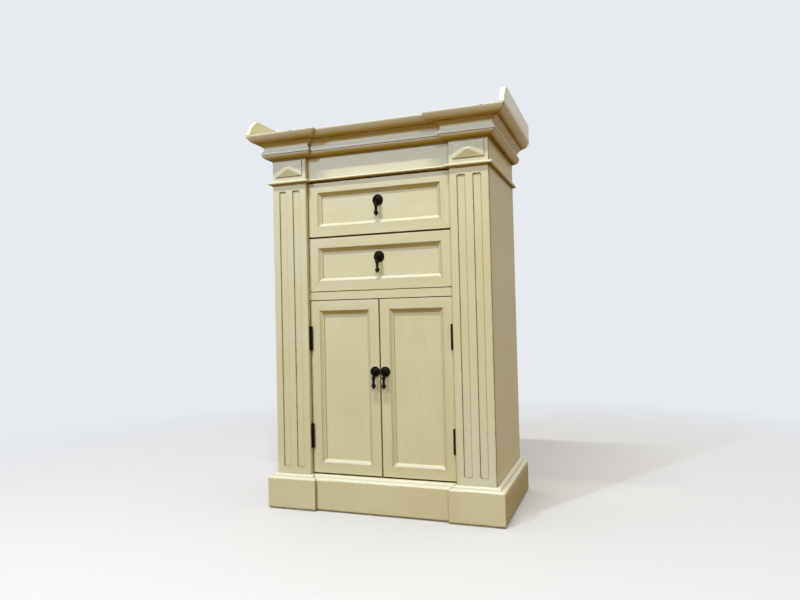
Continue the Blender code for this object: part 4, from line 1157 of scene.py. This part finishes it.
def cheek(radius, half_slot, start, end, sign):
    """One cheek of a slotted post: the part of a round rod beyond the slot, from start to end along the rod."""
    half_angle = math.acos(half_slot / radius)
    angles = np.linspace(-half_angle, half_angle, 15)
    arc = np.stack([radius * np.cos(angles), radius * np.sin(angles)], axis=-1)
    chord = np.stack([np.full(5, half_slot), np.linspace(arc[-1, 1], arc[0, 1], 7)[1:-1]], axis=-1)
    outline = np.concatenate([arc, chord]) * np.array([sign, 1])
    middle = outline.mean(axis=0)
    heights = np.array([start, start + 0.0003, end - 0.0007, end - 0.00025, end])
    drawn = np.array([1.0, 1.0, 1.0, 0.93, 0.78])
    flat = middle + (outline - middle)[None] * drawn[:, None, None]
    grid = np.concatenate([flat, np.broadcast_to(heights[:, None, None], flat.shape[:2] + (1,))], axis=-1)
    wear = np.array([0.2, 0.3, 0.6, 0.9, 1.0])[:, None]
    return facing_out(sheet(grid, close_columns=True, capped=True, wear=wear))


def rose_surface(steps, rim):
    """A pull's rose: a rim, a groove, a dome with a fine ring cut in it, and the post with its slot and pin."""
    profile = np.array(ROSE_PROFILE) * np.array([rim / PROFILE_RIM, 1, 1])
    post = [(0.0, 0.0121, 0), (0.0034, 0.0121, 0.0001), (0.0034, 0.0074, 0.0012), (0.0044, 0.0062, 0.0008),
            (0.0044, 0.0040, 0.0001), (0.0, 0.0040, 0)]
    pin = [(0.0, 0.00262, 0), (0.00088, 0.00262, 0.0002), (0.00088, -0.00262, 0.0002), (0.0, -0.00262, 0)]
    cheeks = [cheek(0.0034, 0.0013, 0.0118, 0.0172, way) for way in (1, -1)]
    return joined(turned(open_softened(profile, 5), steps), turned(open_softened(post), 32), *cheeks,
                  moved(turned(open_softened(pin, 3), 16), TO_SIDE, (0, 0, 0.0142)))


def drop_surface(steps):
    """A pull's drop about its pin: an eye on a flat shank, a collar, a tapering rod and a pointed finial."""
    shank = board((-0.0010, -0.0010, -0.0056), (0.0010, 0.0010, -0.0016), 0.0003, 2, 0.0)
    loop = softened([(0.0012, 0.0010, 0.0001), (0.0023, 0.0010, 0.0003), (0.0023, -0.0010, 0.0003),
                     (0.0012, -0.0010, 0.0001)], 3)
    eye = turned(loop, 32, np.full(len(loop), 0.6), closed=True)
    return joined(turned(open_softened(DROP_PROFILE, 5), steps), shank, moved(eye, TO_SIDE, (0, 0, 0)))


class CUPBOARD_OT_pulls(bpy.types.Operator):
    """Lays the four drop pulls, each a rose with its slotted post and a drop that swings on its pin"""
    bl_idname = "cupboard.pulls"
    bl_label = "Pulls"

    def execute(self, context):
        metal = bronze()
        pivots = {joint["child"]: joint["pos_m"] for joint in frame["joints"] if "pull" in joint["child"]}
        for name in FRONTS:
            low, high = low_high(name + "_rose")
            seat = ((low[0] + high[0]) / 2, high[1], (low[2] + high[2]) / 2)
            rose = rose_surface(sizes().turned_steps, DRAWER_ROSE if "drawer" in name else DOOR_ROSE)
            lay(moved(rose, TO_FRONT, seat), name + "_rose", metal, crease=45)
            lay(moved(drop_surface(48), np.eye(3), pivots[name + "_pull"]), name + "_drop", metal, crease=45)
        return {"FINISHED"}


def knuckle(radius, bore, low_z, high_z, axis):
    """A hinge knuckle or pin: a tube or rod with chamfered ends, carried round its axis, which stands at (x, y)."""
    c = 0.0005
    rows = [(bore, low_z, 0), (radius - c, low_z, 0.0001), (radius, low_z + c, 0.0001), (radius, high_z - c, 0.0001),
            (radius - c, high_z, 0.0001), (bore, high_z, 0)]
    line = softened(np.array(rows) + np.array([0, 0, 0.00001]), 2) if bore else open_softened(rows[::-1], 2)
    edge = np.clip((line[:, 0] - radius + 2 * c) / (2 * c), 0, 1)
    return moved(turned(line, 40, edge, closed=bool(bore)), np.eye(3), (axis[0], axis[1], 0.0))


def bar(x_pair, y_pair, z_pair, radius=0.0002):
    """A small metal bar between pairs of x, y and z, each in either order."""
    low, high = zip(*(sorted(pair) for pair in (x_pair, y_pair, z_pair)))
    return board(low, high, radius, 2, 0.0)


class CUPBOARD_OT_hinges(bpy.types.Operator):
    """Lays the four butt hinges: the leaf and end knuckles on the case, the leaf and middle knuckle on the door"""
    bl_idname = "cupboard.hinges"
    bl_label = "Hinges"

    def execute(self, context):
        metal = iron()
        radius, pin_radius, leaf, play = 0.0038, 0.0015, 0.0008, 0.0003
        opening, door_edge = 0.2, 0.2 - 0.0015
        leaf_start, door_face = low_high("frieze_board")[0][1] - 0.0085, low_high("door_rail")[0][1]
        pivots = {joint["child"]: joint["pos_m"] for joint in frame["joints"] if joint["child"].endswith("_door")}
        for side, sign in SIDES:
            axis = pivots[side + "_door"]
            for place in ("lower", "upper"):
                node = side + "_" + place + "_hinge_case_leaf"
                low, high = low_high(node)
                third = (high[2] - low[2]) / 3
                parts = [bar((sign * opening, sign * (opening + leaf)), (leaf_start, high[1]), (low[2], high[2]),
                             0.0003)]
                for start, end in ((low[2], low[2] + third), (high[2] - third, high[2])):
                    parts.append(knuckle(radius, 0, start, end, axis))
                    parts.append(bar((axis[0] + sign * (radius - 0.0011), sign * (opening + leaf / 2)),
                                     (axis[1] - 0.001, axis[1] + 0.001), (start + play, end - play)))
                parts.append(knuckle(pin_radius, 0, low[2] + third / 2, high[2] - third / 2, axis))
                lay(joined(*parts), node, metal)
                node = side + "_" + place + "_hinge_door_leaf"
                low, high = low_high(node)
                x_pair = (sign * door_edge, sign * (door_edge - leaf))
                start, end = low[2] + third + play, high[2] - third - play
                lay(joined(bar(x_pair, (door_face + 0.0003, high[1]), (low[2], high[2]), 0.0003),
                           knuckle(radius, pin_radius + play, start, end, axis),
                           bar(x_pair, (axis[1] + radius / 2, door_face + 0.0006), (start, end))),
                    node, metal)
        return {"FINISHED"}


# Materials ---------------------------------------------------------------------------------------------------

class Recipe:
    """The node tree of a new material or world, made node by node."""

    def __init__(self, holder):
        self.holder = holder
        holder.use_nodes = True
        self.tree = holder.node_tree
        self.shader = self.tree.nodes.get("Principled BSDF")

    def node(self, kind, values=None, **settings):
        """Adds a node; a value that is a socket is linked, and any other is set."""
        made = self.tree.nodes.new("ShaderNode" + kind)
        for name, setting in settings.items():
            setattr(made, name, setting)
        for key, value in (values or {}).items():
            self.put(made.inputs[key], value)
        return made

    def put(self, socket, value):
        if isinstance(value, bpy.types.NodeSocket):
            self.tree.links.new(value, socket)
        elif isinstance(socket, bpy.types.NodeSocketColor):
            socket.default_value = tuple(value)[:3] + (1.0,)
        else:
            socket.default_value = value

    def math(self, operation, a, b=0.0, clamp=False):
        return self.node("Math", {0: a, 1: b}, operation=operation, use_clamp=clamp).outputs[0]

    def times(self, first, *others):
        """The product of several values."""
        for other in others:
            first = self.math("MULTIPLY", first, other)
        return first

    def mix(self, share_of, a, b):
        """Two colours mixed by a share."""
        return self.node("Mix", {"Factor": share_of, 6: a, 7: b}, data_type="RGBA").outputs[2]

    def place(self):
        return self.node("TexCoord").outputs["Object"]

    def mapped(self, source, scale, turn=(0, 0, 0)):
        return self.node("Mapping", {"Vector": source, "Scale": scale, "Rotation": turn}).outputs[0]

    def noise(self, source, scale, detail=3.0, rough=0.5):
        values = {"Vector": source, "Scale": scale, "Detail": detail, "Roughness": rough}
        return self.node("TexNoise", values).outputs["Fac"]

    def levels(self, value, low, high, to_low=0.0, to_high=1.0):
        """A value stretched from (low, high) to (to_low, to_high), held between them."""
        return self.node("MapRange", {"Value": value, "From Min": low, "From Max": high, "To Min": to_low,
                                      "To Max": to_high}).outputs[0]

    def attribute(self, name, vector=False):
        return self.node("Attribute", attribute_name=name).outputs["Vector" if vector else "Fac"]

    def relief(self, *layers):
        """A normal that is raised by each (height, distance) in turn."""
        values = {"Strength": 1.0}
        for values["Height"], values["Distance"] in layers:
            values["Normal"] = self.node("Bump", values).outputs[0]
        return values["Normal"]

    def seen(self):
        """1 where a ray comes from the camera, a reflection or through something clear, and 0 for other rays."""
        rays = self.node("LightPath").outputs
        found = self.math("MAXIMUM", rays["Is Camera Ray"], rays["Is Glossy Ray"])
        return self.math("MAXIMUM", found, rays["Is Transmission Ray"])

    def finished(self, colour, roughness, relief, **sockets):
        """Puts the colour, roughness and relief on the shader, and any other value on the socket of its name."""
        sockets = {name.replace("_", " "): value for name, value in sockets.items()}
        sockets.update({"Base Color": colour, "Roughness": roughness, "Normal": relief})
        for name, value in sockets.items():
            self.put(self.shader.inputs[name], value)
        return self.holder


def new_recipe(name):
    return Recipe(bpy.data.materials.new(name))


def kept(name):
    """The material of that name if it has been made already."""
    return bpy.data.materials.get(name)


def paint(part, follows="stroke"):
    """Cream satin paint: brush marks, mottling, brown glaze in the hollows, worn arrises and chips. It also holds
    painted
    light and shade: warm light towards the right and the bottom, a highlight with the chalk where faces turn up, shade
    where they turn down or right, and shade with the glaze in gaps and hollows.
    """
    name = part + "_cream_paint" + ("" if follows == "stroke" else "_plain")
    if kept(name):
        return kept(name)
    c = colours()
    r = new_recipe(name)
    place = r.place()
    stroke = r.attribute("stroke", vector=True) if follows == "stroke" else place
    slope, flank = r.attribute("slope"), r.attribute("flank")
    axes = r.node("SeparateXYZ", {0: place}).outputs
    x, y, z = (axes[name] for name in "XYZ")
    broad = r.noise(place, 7.0, 3.0)
    patches = r.noise(r.mapped(stroke, (5, 22, 22)), 1.0, 4.0, 0.6)
    bristles = r.noise(r.mapped(stroke, (14, 620, 620)), 1.0, 3.0, 0.6)

    # Random yellowing, plus painted warm light that grows towards the right side and towards the bottom.
    warm_tone_and_light = r.math("ADD", r.levels(broad, 0.36, 0.70, 0.0, 0.6), r.levels(x, -0.15, 0.32, 0.0, 0.5), True)
    warm_tone_and_light = r.math("ADD", warm_tone_and_light, r.levels(z, 0.65, 0.15, 0.0, 0.25), True)
    # Where the painted shade on faces that turn right reaches: below the gallery, and all over the left half.
    flank_shade_reach = r.math("MAXIMUM", r.levels(z, 1.004, 0.925), r.levels(x, 0.0, -0.1))
    tint = c.paint
    for amount, other in (
            (warm_tone_and_light, c.warm_paint_and_light),
            (r.levels(z, 0.84, 0.97, 0.0, 0.75), c.paint_head),
            (r.levels(patches, 0.50, 0.74, 0.0, 0.55), c.paint_pale),
            # paler towards the foot of the right pilaster
            (r.times(r.levels(x, 0.200, 0.215), r.levels(z, 0.50, 0.12), r.levels(z, 0.090, 0.096, 0.4, 0.75)),
             c.paint_pale),
            (r.levels(bristles, 0.30, 0.75, 0.0, 0.10), c.warm_paint_and_light),
            # painted shade on faces that turn right, below the gallery and on the left half; deeper painted shade on
            # them near the floor; and painted light on the right gallery board's outer face
            (r.times(r.levels(flank, 0.20, 0.80, 0.0, 0.85), flank_shade_reach), c.flank_shade),
            (r.times(r.levels(flank, 0.30, 0.90), r.levels(z, 0.100, 0.060), r.levels(y, -0.17, 0.08, 0.80, 0.88)),
             c.flank_floor_shade),
            (r.times(r.levels(z, 1.002, 1.012), r.levels(x, 0.20, 0.30), r.levels(flank, 0.4, 0.9)), c.gallery_face_light)):
        tint = r.mix(amount, tint, other)

    # Painted shade on faces that turn down, beginning at a steeper slope on mouldings, broken by broad noise and weaker
    # on faces that turn right.
    steepness = (-0.38, -0.92) if part == "moulding" else (-0.22, -0.80)
    underside_shade = r.times(r.levels(slope, *steepness), r.levels(broad, 0.25, 0.6, 0.80, 0.98),
                   r.levels(flank, 0.25, 0.60, 1.0, 0.52))
    wear_noise = r.noise(r.mapped(stroke, (60, 240, 240)), 1.0, 4.0, 0.65)
    worn = r.math("ADD", r.attribute("wear"), r.levels(wear_noise, 0.25, 0.75, -0.62, 0.22))
    worn = r.times(r.levels(worn, 0.42, 0.72), c.wear_amount)
    # The glaze layer is brown glaze and painted shade in gaps and hollows; noise breaks it up.
    glaze_noise = r.noise(r.mapped(stroke, (40, 200, 200)), 1.0, 3.0, 0.6)
    glazed = r.times(r.attribute("glaze"), r.levels(glaze_noise, 0.28, 0.60, 0.45, 1.0))
    glazed = r.math("MULTIPLY", glazed, c.glaze_and_shade_amount, clamp=True)
    chip_edge = r.levels(r.noise(place, 900.0, 2.0), 0.3, 0.7, -0.25, 0.25)
    chipped_off = r.levels(r.math("ADD", r.attribute("chip"), chip_edge), 0.45, 0.70)
    # Pale chalk where faces turn up, part rubbing and part painted highlight; then the painted shade on undersides, tan
    # wear, glaze with painted shade, and chips.
    for amount, other in ((r.levels(slope, 0.15, 0.75, 0.0, 0.65), c.chalk_and_highlight), (underside_shade, c.underside_shade_colour),
                          (worn, c.undercoat), (glazed, c.glaze), (chipped_off, c.bare)):
        tint = r.mix(amount, tint, other)

    rough = r.math("ADD", r.levels(patches, 0.25, 0.75, 0.34, 0.46), r.levels(bristles, 0.2, 0.8, -0.03, 0.05))
    rough = r.math("ADD", rough, r.times(glazed, 0.22))
    rough = r.math("ADD", rough, r.times(chipped_off, 0.25), clamp=True)
    # Less gloss where the painted shade and the glaze lie, and on faces that turn right.
    sheen = r.times(r.levels(underside_shade, 0.0, 0.9, 0.45, 0.03), r.levels(glazed, 0.0, 0.7, 1.0, 0.05),
                    r.levels(flank, 0.5, 0.9, 1.0, 0.2))
    relief = r.relief((r.noise(place, 9.0, 2.0), 0.0011), (bristles, 0.00009), (r.noise(place, 520.0, 2.0), 0.00003),
                      (r.math("SUBTRACT", 1.0, worn), 0.00012))
    return r.finished(tint, rough, relief, Specular_IOR_Level=sheen)


def timber(finish, follows="stroke"):
    """Bare boards: grain along the board from stretched noise, pores, and for plywood a paler face."""
    name = "bare_" + finish + "_" + follows.lower()
    if kept(name):
        return kept(name)
    c = colours()
    r = new_recipe(name)
    source = r.attribute("stroke", vector=True) if follows == "stroke" else r.place()
    if follows == "Y":
        source = r.mapped(source, (1, 1, 1), (0, 0, math.radians(90)))
    warp = r.noise(r.mapped(source, (2.2, 9, 9)), 1.0, 3.0)
    rings = r.node("TexWave", {"Vector": r.mapped(source, (0.9, 26, 26)), "Scale": 1.0, "Distortion": 7.0,
                               "Detail": 3.0, "Detail Scale": 1.2}, wave_type="BANDS", bands_direction="Y")
    fibres = r.noise(r.mapped(source, (18, 900, 900)), 1.0, 3.0, 0.6)
    pores = r.levels(r.noise(r.mapped(source, (60, 1500, 1500)), 1.0, 2.0), 0.60, 0.72)
    strength = 0.45 if finish == "plywood" else 1.0
    late = r.times(rings.outputs["Fac"], r.levels(warp, 0.3, 0.7, 0.25 * strength, 0.85 * strength))
    wood = r.mix(late, c.pine, c.pine_dark)
    wood = r.mix(r.levels(fibres, 0.3, 0.7, 0.0, 0.22), wood, c.pine_dark)
    wood = r.mix(r.times(pores, 0.35), wood, c.bare)
    return r.finished(wood, r.levels(fibres, 0.2, 0.8, 0.55, 0.75), r.relief((fibres, 0.00010), (late, 0.00012)))


def dark_metal(name, skin, scales, wear_from, band, roughness, specular, heights):
    """A dark metal: cloudy gloss, a pitted skin, and rubbed bronze where the wear and the cloud are high."""
    r = new_recipe(name)
    cloud, pits = r.noise(r.place(), scales[0], 4.0, 0.6), r.noise(r.place(), scales[1], 2.0)
    rub = r.times(r.levels(r.attribute("wear"), wear_from, 1.0), r.levels(cloud, *band))
    return r.finished(r.mix(rub, skin, colours().bronze_rub), r.levels(cloud, 0.3, 0.7, *roughness),
                      r.relief((cloud, heights[0]), (pits, heights[1])), Metallic=0.1, Specular_IOR_Level=specular)


def bronze():
    """Dark bronze: brown-black with rubbed high places, a pitted skin and uneven gloss."""
    return dark_metal("dark_bronze", colours().bronze, (260.0, 1700.0), 0.35, (0.45, 0.70, 0.0, 0.55), (0.26, 0.42),
                      0.06, (0.00010, 0.00003))


def iron():
    """Black iron: a blackened skin with faint brown at the edges and fine pits."""
    return dark_metal("black_iron", colours().iron, (180.0, 1400.0), 0.5, (0.50, 0.75, 0.0, 0.5), (0.42, 0.60),
                      0.05, (0.00008, 0.00004))


def catch_plastic():
    """Brown moulded plastic: a fine grain and a slight sheen."""
    c = colours()
    r = new_recipe("brown_plastic")
    grain, cloud = r.noise(r.place(), 1100.0, 2.0), r.noise(r.place(), 60.0, 3.0)
    return r.finished(r.mix(r.levels(cloud, 0.3, 0.7, 0.0, 0.35), c.plastic, c.bare),
                      r.levels(grain, 0.3, 0.7, 0.42, 0.56), r.relief((grain, 0.00004)))


# Stage -------------------------------------------------------------------------------------------------------

LIGHTS = (
    # name, place, target, width and height, strength, tint
    ("ceiling_light", (-0.05, -1.49, 3.47), (0, -0.13, 0.75), (1.3, 0.06), 76.0, (1.0, 0.98, 0.90)),
    ("left_light", (-2.07, -4.33, 3.245), (0, -0.13, 0.74), (0.18, 0.18), 129.0, (0.57, 0.72, 1.04)),
    ("right_light", (2.43, -4.33, 3.245), (0, -0.13, 0.74), (0.18, 0.18), 88.0, (0.80, 0.80, 0.84)),
)


def light(name, place, target, extent, strength, tint):
    """A rectangular soft light, as wide and as high as extent says, that faces a target."""
    lamp = bpy.data.lights.new(name, "AREA")
    lamp.shape = "RECTANGLE"
    lamp.size, lamp.size_y = extent
    lamp.energy, lamp.color = strength, tint
    holder = bpy.data.objects.new(name, lamp)
    bpy.context.scene.collection.objects.link(holder)
    away = np.asarray(place, float) - np.asarray(target, float)
    away /= np.linalg.norm(away)
    side = np.cross((0, 0, 1), away)
    side /= np.linalg.norm(side)
    matrix = np.eye(4)
    matrix[:3] = np.stack([side, np.cross(away, side), away, place], axis=-1)
    holder.matrix_world = Matrix(matrix.tolist())


class CUPBOARD_OT_stage(bpy.types.Operator):
    """Sets the pale floor, the soft lights, the pale ground and the camera"""
    bl_idname = "cupboard.stage"
    bl_label = "Stage"

    def execute(self, context):
        self.floor(context.scene, colours())
        self.ground(context.scene, colours())
        for row in LIGHTS:
            light(*row)
        self.camera(context.scene)
        context.scene.view_settings.view_transform = "Standard"
        return {"FINISHED"}

    def floor(self, scene, c):
        """A flat disc of rings, whose shading runs into the ground's colour with distance."""
        radii = np.concatenate([[0.0], np.linspace(0.25, 6.0, 24)])
        item = turned(np.stack([radii, 0 * radii], axis=-1), 64)
        mesh = bpy.data.meshes.new("pale_floor")
        mesh.from_pydata(item["points"], [], face_lists(item["quads"]))
        floor = bpy.data.objects.new("pale_floor", mesh)
        scene.collection.objects.link(floor)
        r = new_recipe("pale_floor")
        far = r.node("VectorMath", {0: r.place()}, operation="LENGTH").outputs["Value"]
        seen = r.seen()
        speck = r.noise(r.place(), 40.0, 3.0)
        warm = r.mix(r.levels(speck, 0.3, 0.7), (0.29, 0.150, 0.028), (0.27, 0.138, 0.025))
        r.put(r.shader.inputs["Base Color"], r.mix(seen, warm, c.floor))
        r.put(r.shader.inputs["Roughness"], 0.75)
        r.put(r.shader.inputs["Specular IOR Level"], 0.2)
        glow = r.node("Emission", {"Color": c.backdrop, "Strength": 1.0})
        both = r.node("MixShader", {0: r.times(r.levels(far, 0.9, 2.2), seen), 1: r.shader.outputs[0],
                                    2: glow.outputs[0]})
        r.put(r.tree.nodes["Material Output"].inputs["Surface"], both.outputs[0])
        mesh.materials.append(r.holder)

    def ground(self, scene, c):
        """The world: pale where it is seen, and for all else a soft light that is cool in front and above, and warm
        near the ground at the sides."""
        r = Recipe(bpy.data.worlds.new("pale_ground"))
        toward = r.node("SeparateXYZ", {0: r.node("TexCoord").outputs["Generated"]}).outputs
        sides = r.mix(r.levels(toward["Z"], 0.25, 0.75), (0.33, 0.28, 0.13), (1.22, 1.22, 1.24))
        front = r.mix(r.levels(toward["Z"], 0.45, 0.80), (0.06, 0.09, 0.13), (0.35, 0.38, 0.45))
        ahead = r.levels(toward["Y"], -0.15, -0.50)
        soft = r.node("Background", {"Color": r.mix(ahead, sides, front), "Strength": 1.0})
        pale = r.node("Background", {"Color": c.backdrop, "Strength": 1.0})
        both = r.node("MixShader", {0: r.seen(), 1: soft.outputs[0], 2: pale.outputs[0]})
        r.put(r.tree.nodes["World Output"].inputs["Surface"], both.outputs[0])
        r.tree.nodes.remove(r.tree.nodes["Background"])
        scene.world = r.holder

    def camera(self, scene):
        """A camera where the photographer stood: turned left, tipped slightly up and slightly rolled."""
        yaw, pitch, roll = 0.3447, 0.0237, 0.0235
        focal_px, width_px = 636.29, 800.0
        turn = (Matrix.Rotation(yaw, 3, "Z") @ Matrix.Rotation(pitch, 3, "X") @ Matrix.Rotation(roll, 3, "Y"))
        right, forward, up = turn.col[0], turn.col[1], turn.col[2]
        eye = (0.6106, -1.6695, 0.5125)
        lens = bpy.data.cameras.new("camera")
        lens.sensor_fit = "HORIZONTAL"
        lens.sensor_width = 36.0
        lens.lens = focal_px / width_px * lens.sensor_width
        holder = bpy.data.objects.new("camera", lens)
        scene.collection.objects.link(holder)
        holder.matrix_world = Matrix([[right[k], up[k], -forward[k], eye[k]] for k in range(3)] + [[0, 0, 0, 1]])
        scene.camera = holder


class CUPBOARD_PT_sidebar(bpy.types.Panel):
    """Lists the cupboard's pieces, sizes and colours"""
    bl_label = "Painted Cupboard"
    bl_space_type = "VIEW_3D"
    bl_region_type = "UI"
    bl_category = "Cupboard"

    def draw(self, context):
        column = self.layout.column(align=True)
        for operator in OPERATORS:
            column.operator(operator.bl_idname)
        for group in (context.scene.cupboard_sizes, context.scene.cupboard_colours):
            box = self.layout.box()
            for name in group.__annotations__:
                box.prop(group, name)


OPERATORS = (
    CUPBOARD_OT_case_boards, CUPBOARD_OT_pilasters, CUPBOARD_OT_plinth, CUPBOARD_OT_bead, CUPBOARD_OT_cornice,
    CUPBOARD_OT_gallery, CUPBOARD_OT_drawer_fronts, CUPBOARD_OT_drawer_boxes, CUPBOARD_OT_doors,
    CUPBOARD_OT_inside, CUPBOARD_OT_hinges, CUPBOARD_OT_pulls, CUPBOARD_OT_stage,
)
CLASSES = (CupboardSizes, CupboardColours) + OPERATORS + (CUPBOARD_PT_sidebar,)


def register():
    for item in CLASSES:
        bpy.utils.register_class(item)
    bpy.types.Scene.cupboard_sizes = PointerProperty(type=CupboardSizes)
    bpy.types.Scene.cupboard_colours = PointerProperty(type=CupboardColours)


def unregister():
    del bpy.types.Scene.cupboard_colours
    del bpy.types.Scene.cupboard_sizes
    for item in reversed(CLASSES):
        bpy.utils.unregister_class(item)


def main():
    register()
    bpy.ops.cupboard.case_boards()
    bpy.ops.cupboard.pilasters()
    bpy.ops.cupboard.plinth()
    bpy.ops.cupboard.bead()
    bpy.ops.cupboard.cornice()
    bpy.ops.cupboard.gallery()
    bpy.ops.cupboard.drawer_fronts()
    bpy.ops.cupboard.drawer_boxes()
    bpy.ops.cupboard.doors()
    bpy.ops.cupboard.inside()
    bpy.ops.cupboard.hinges()
    bpy.ops.cupboard.pulls()
    bpy.ops.cupboard.stage()


if __name__ == "__main__":
    main()
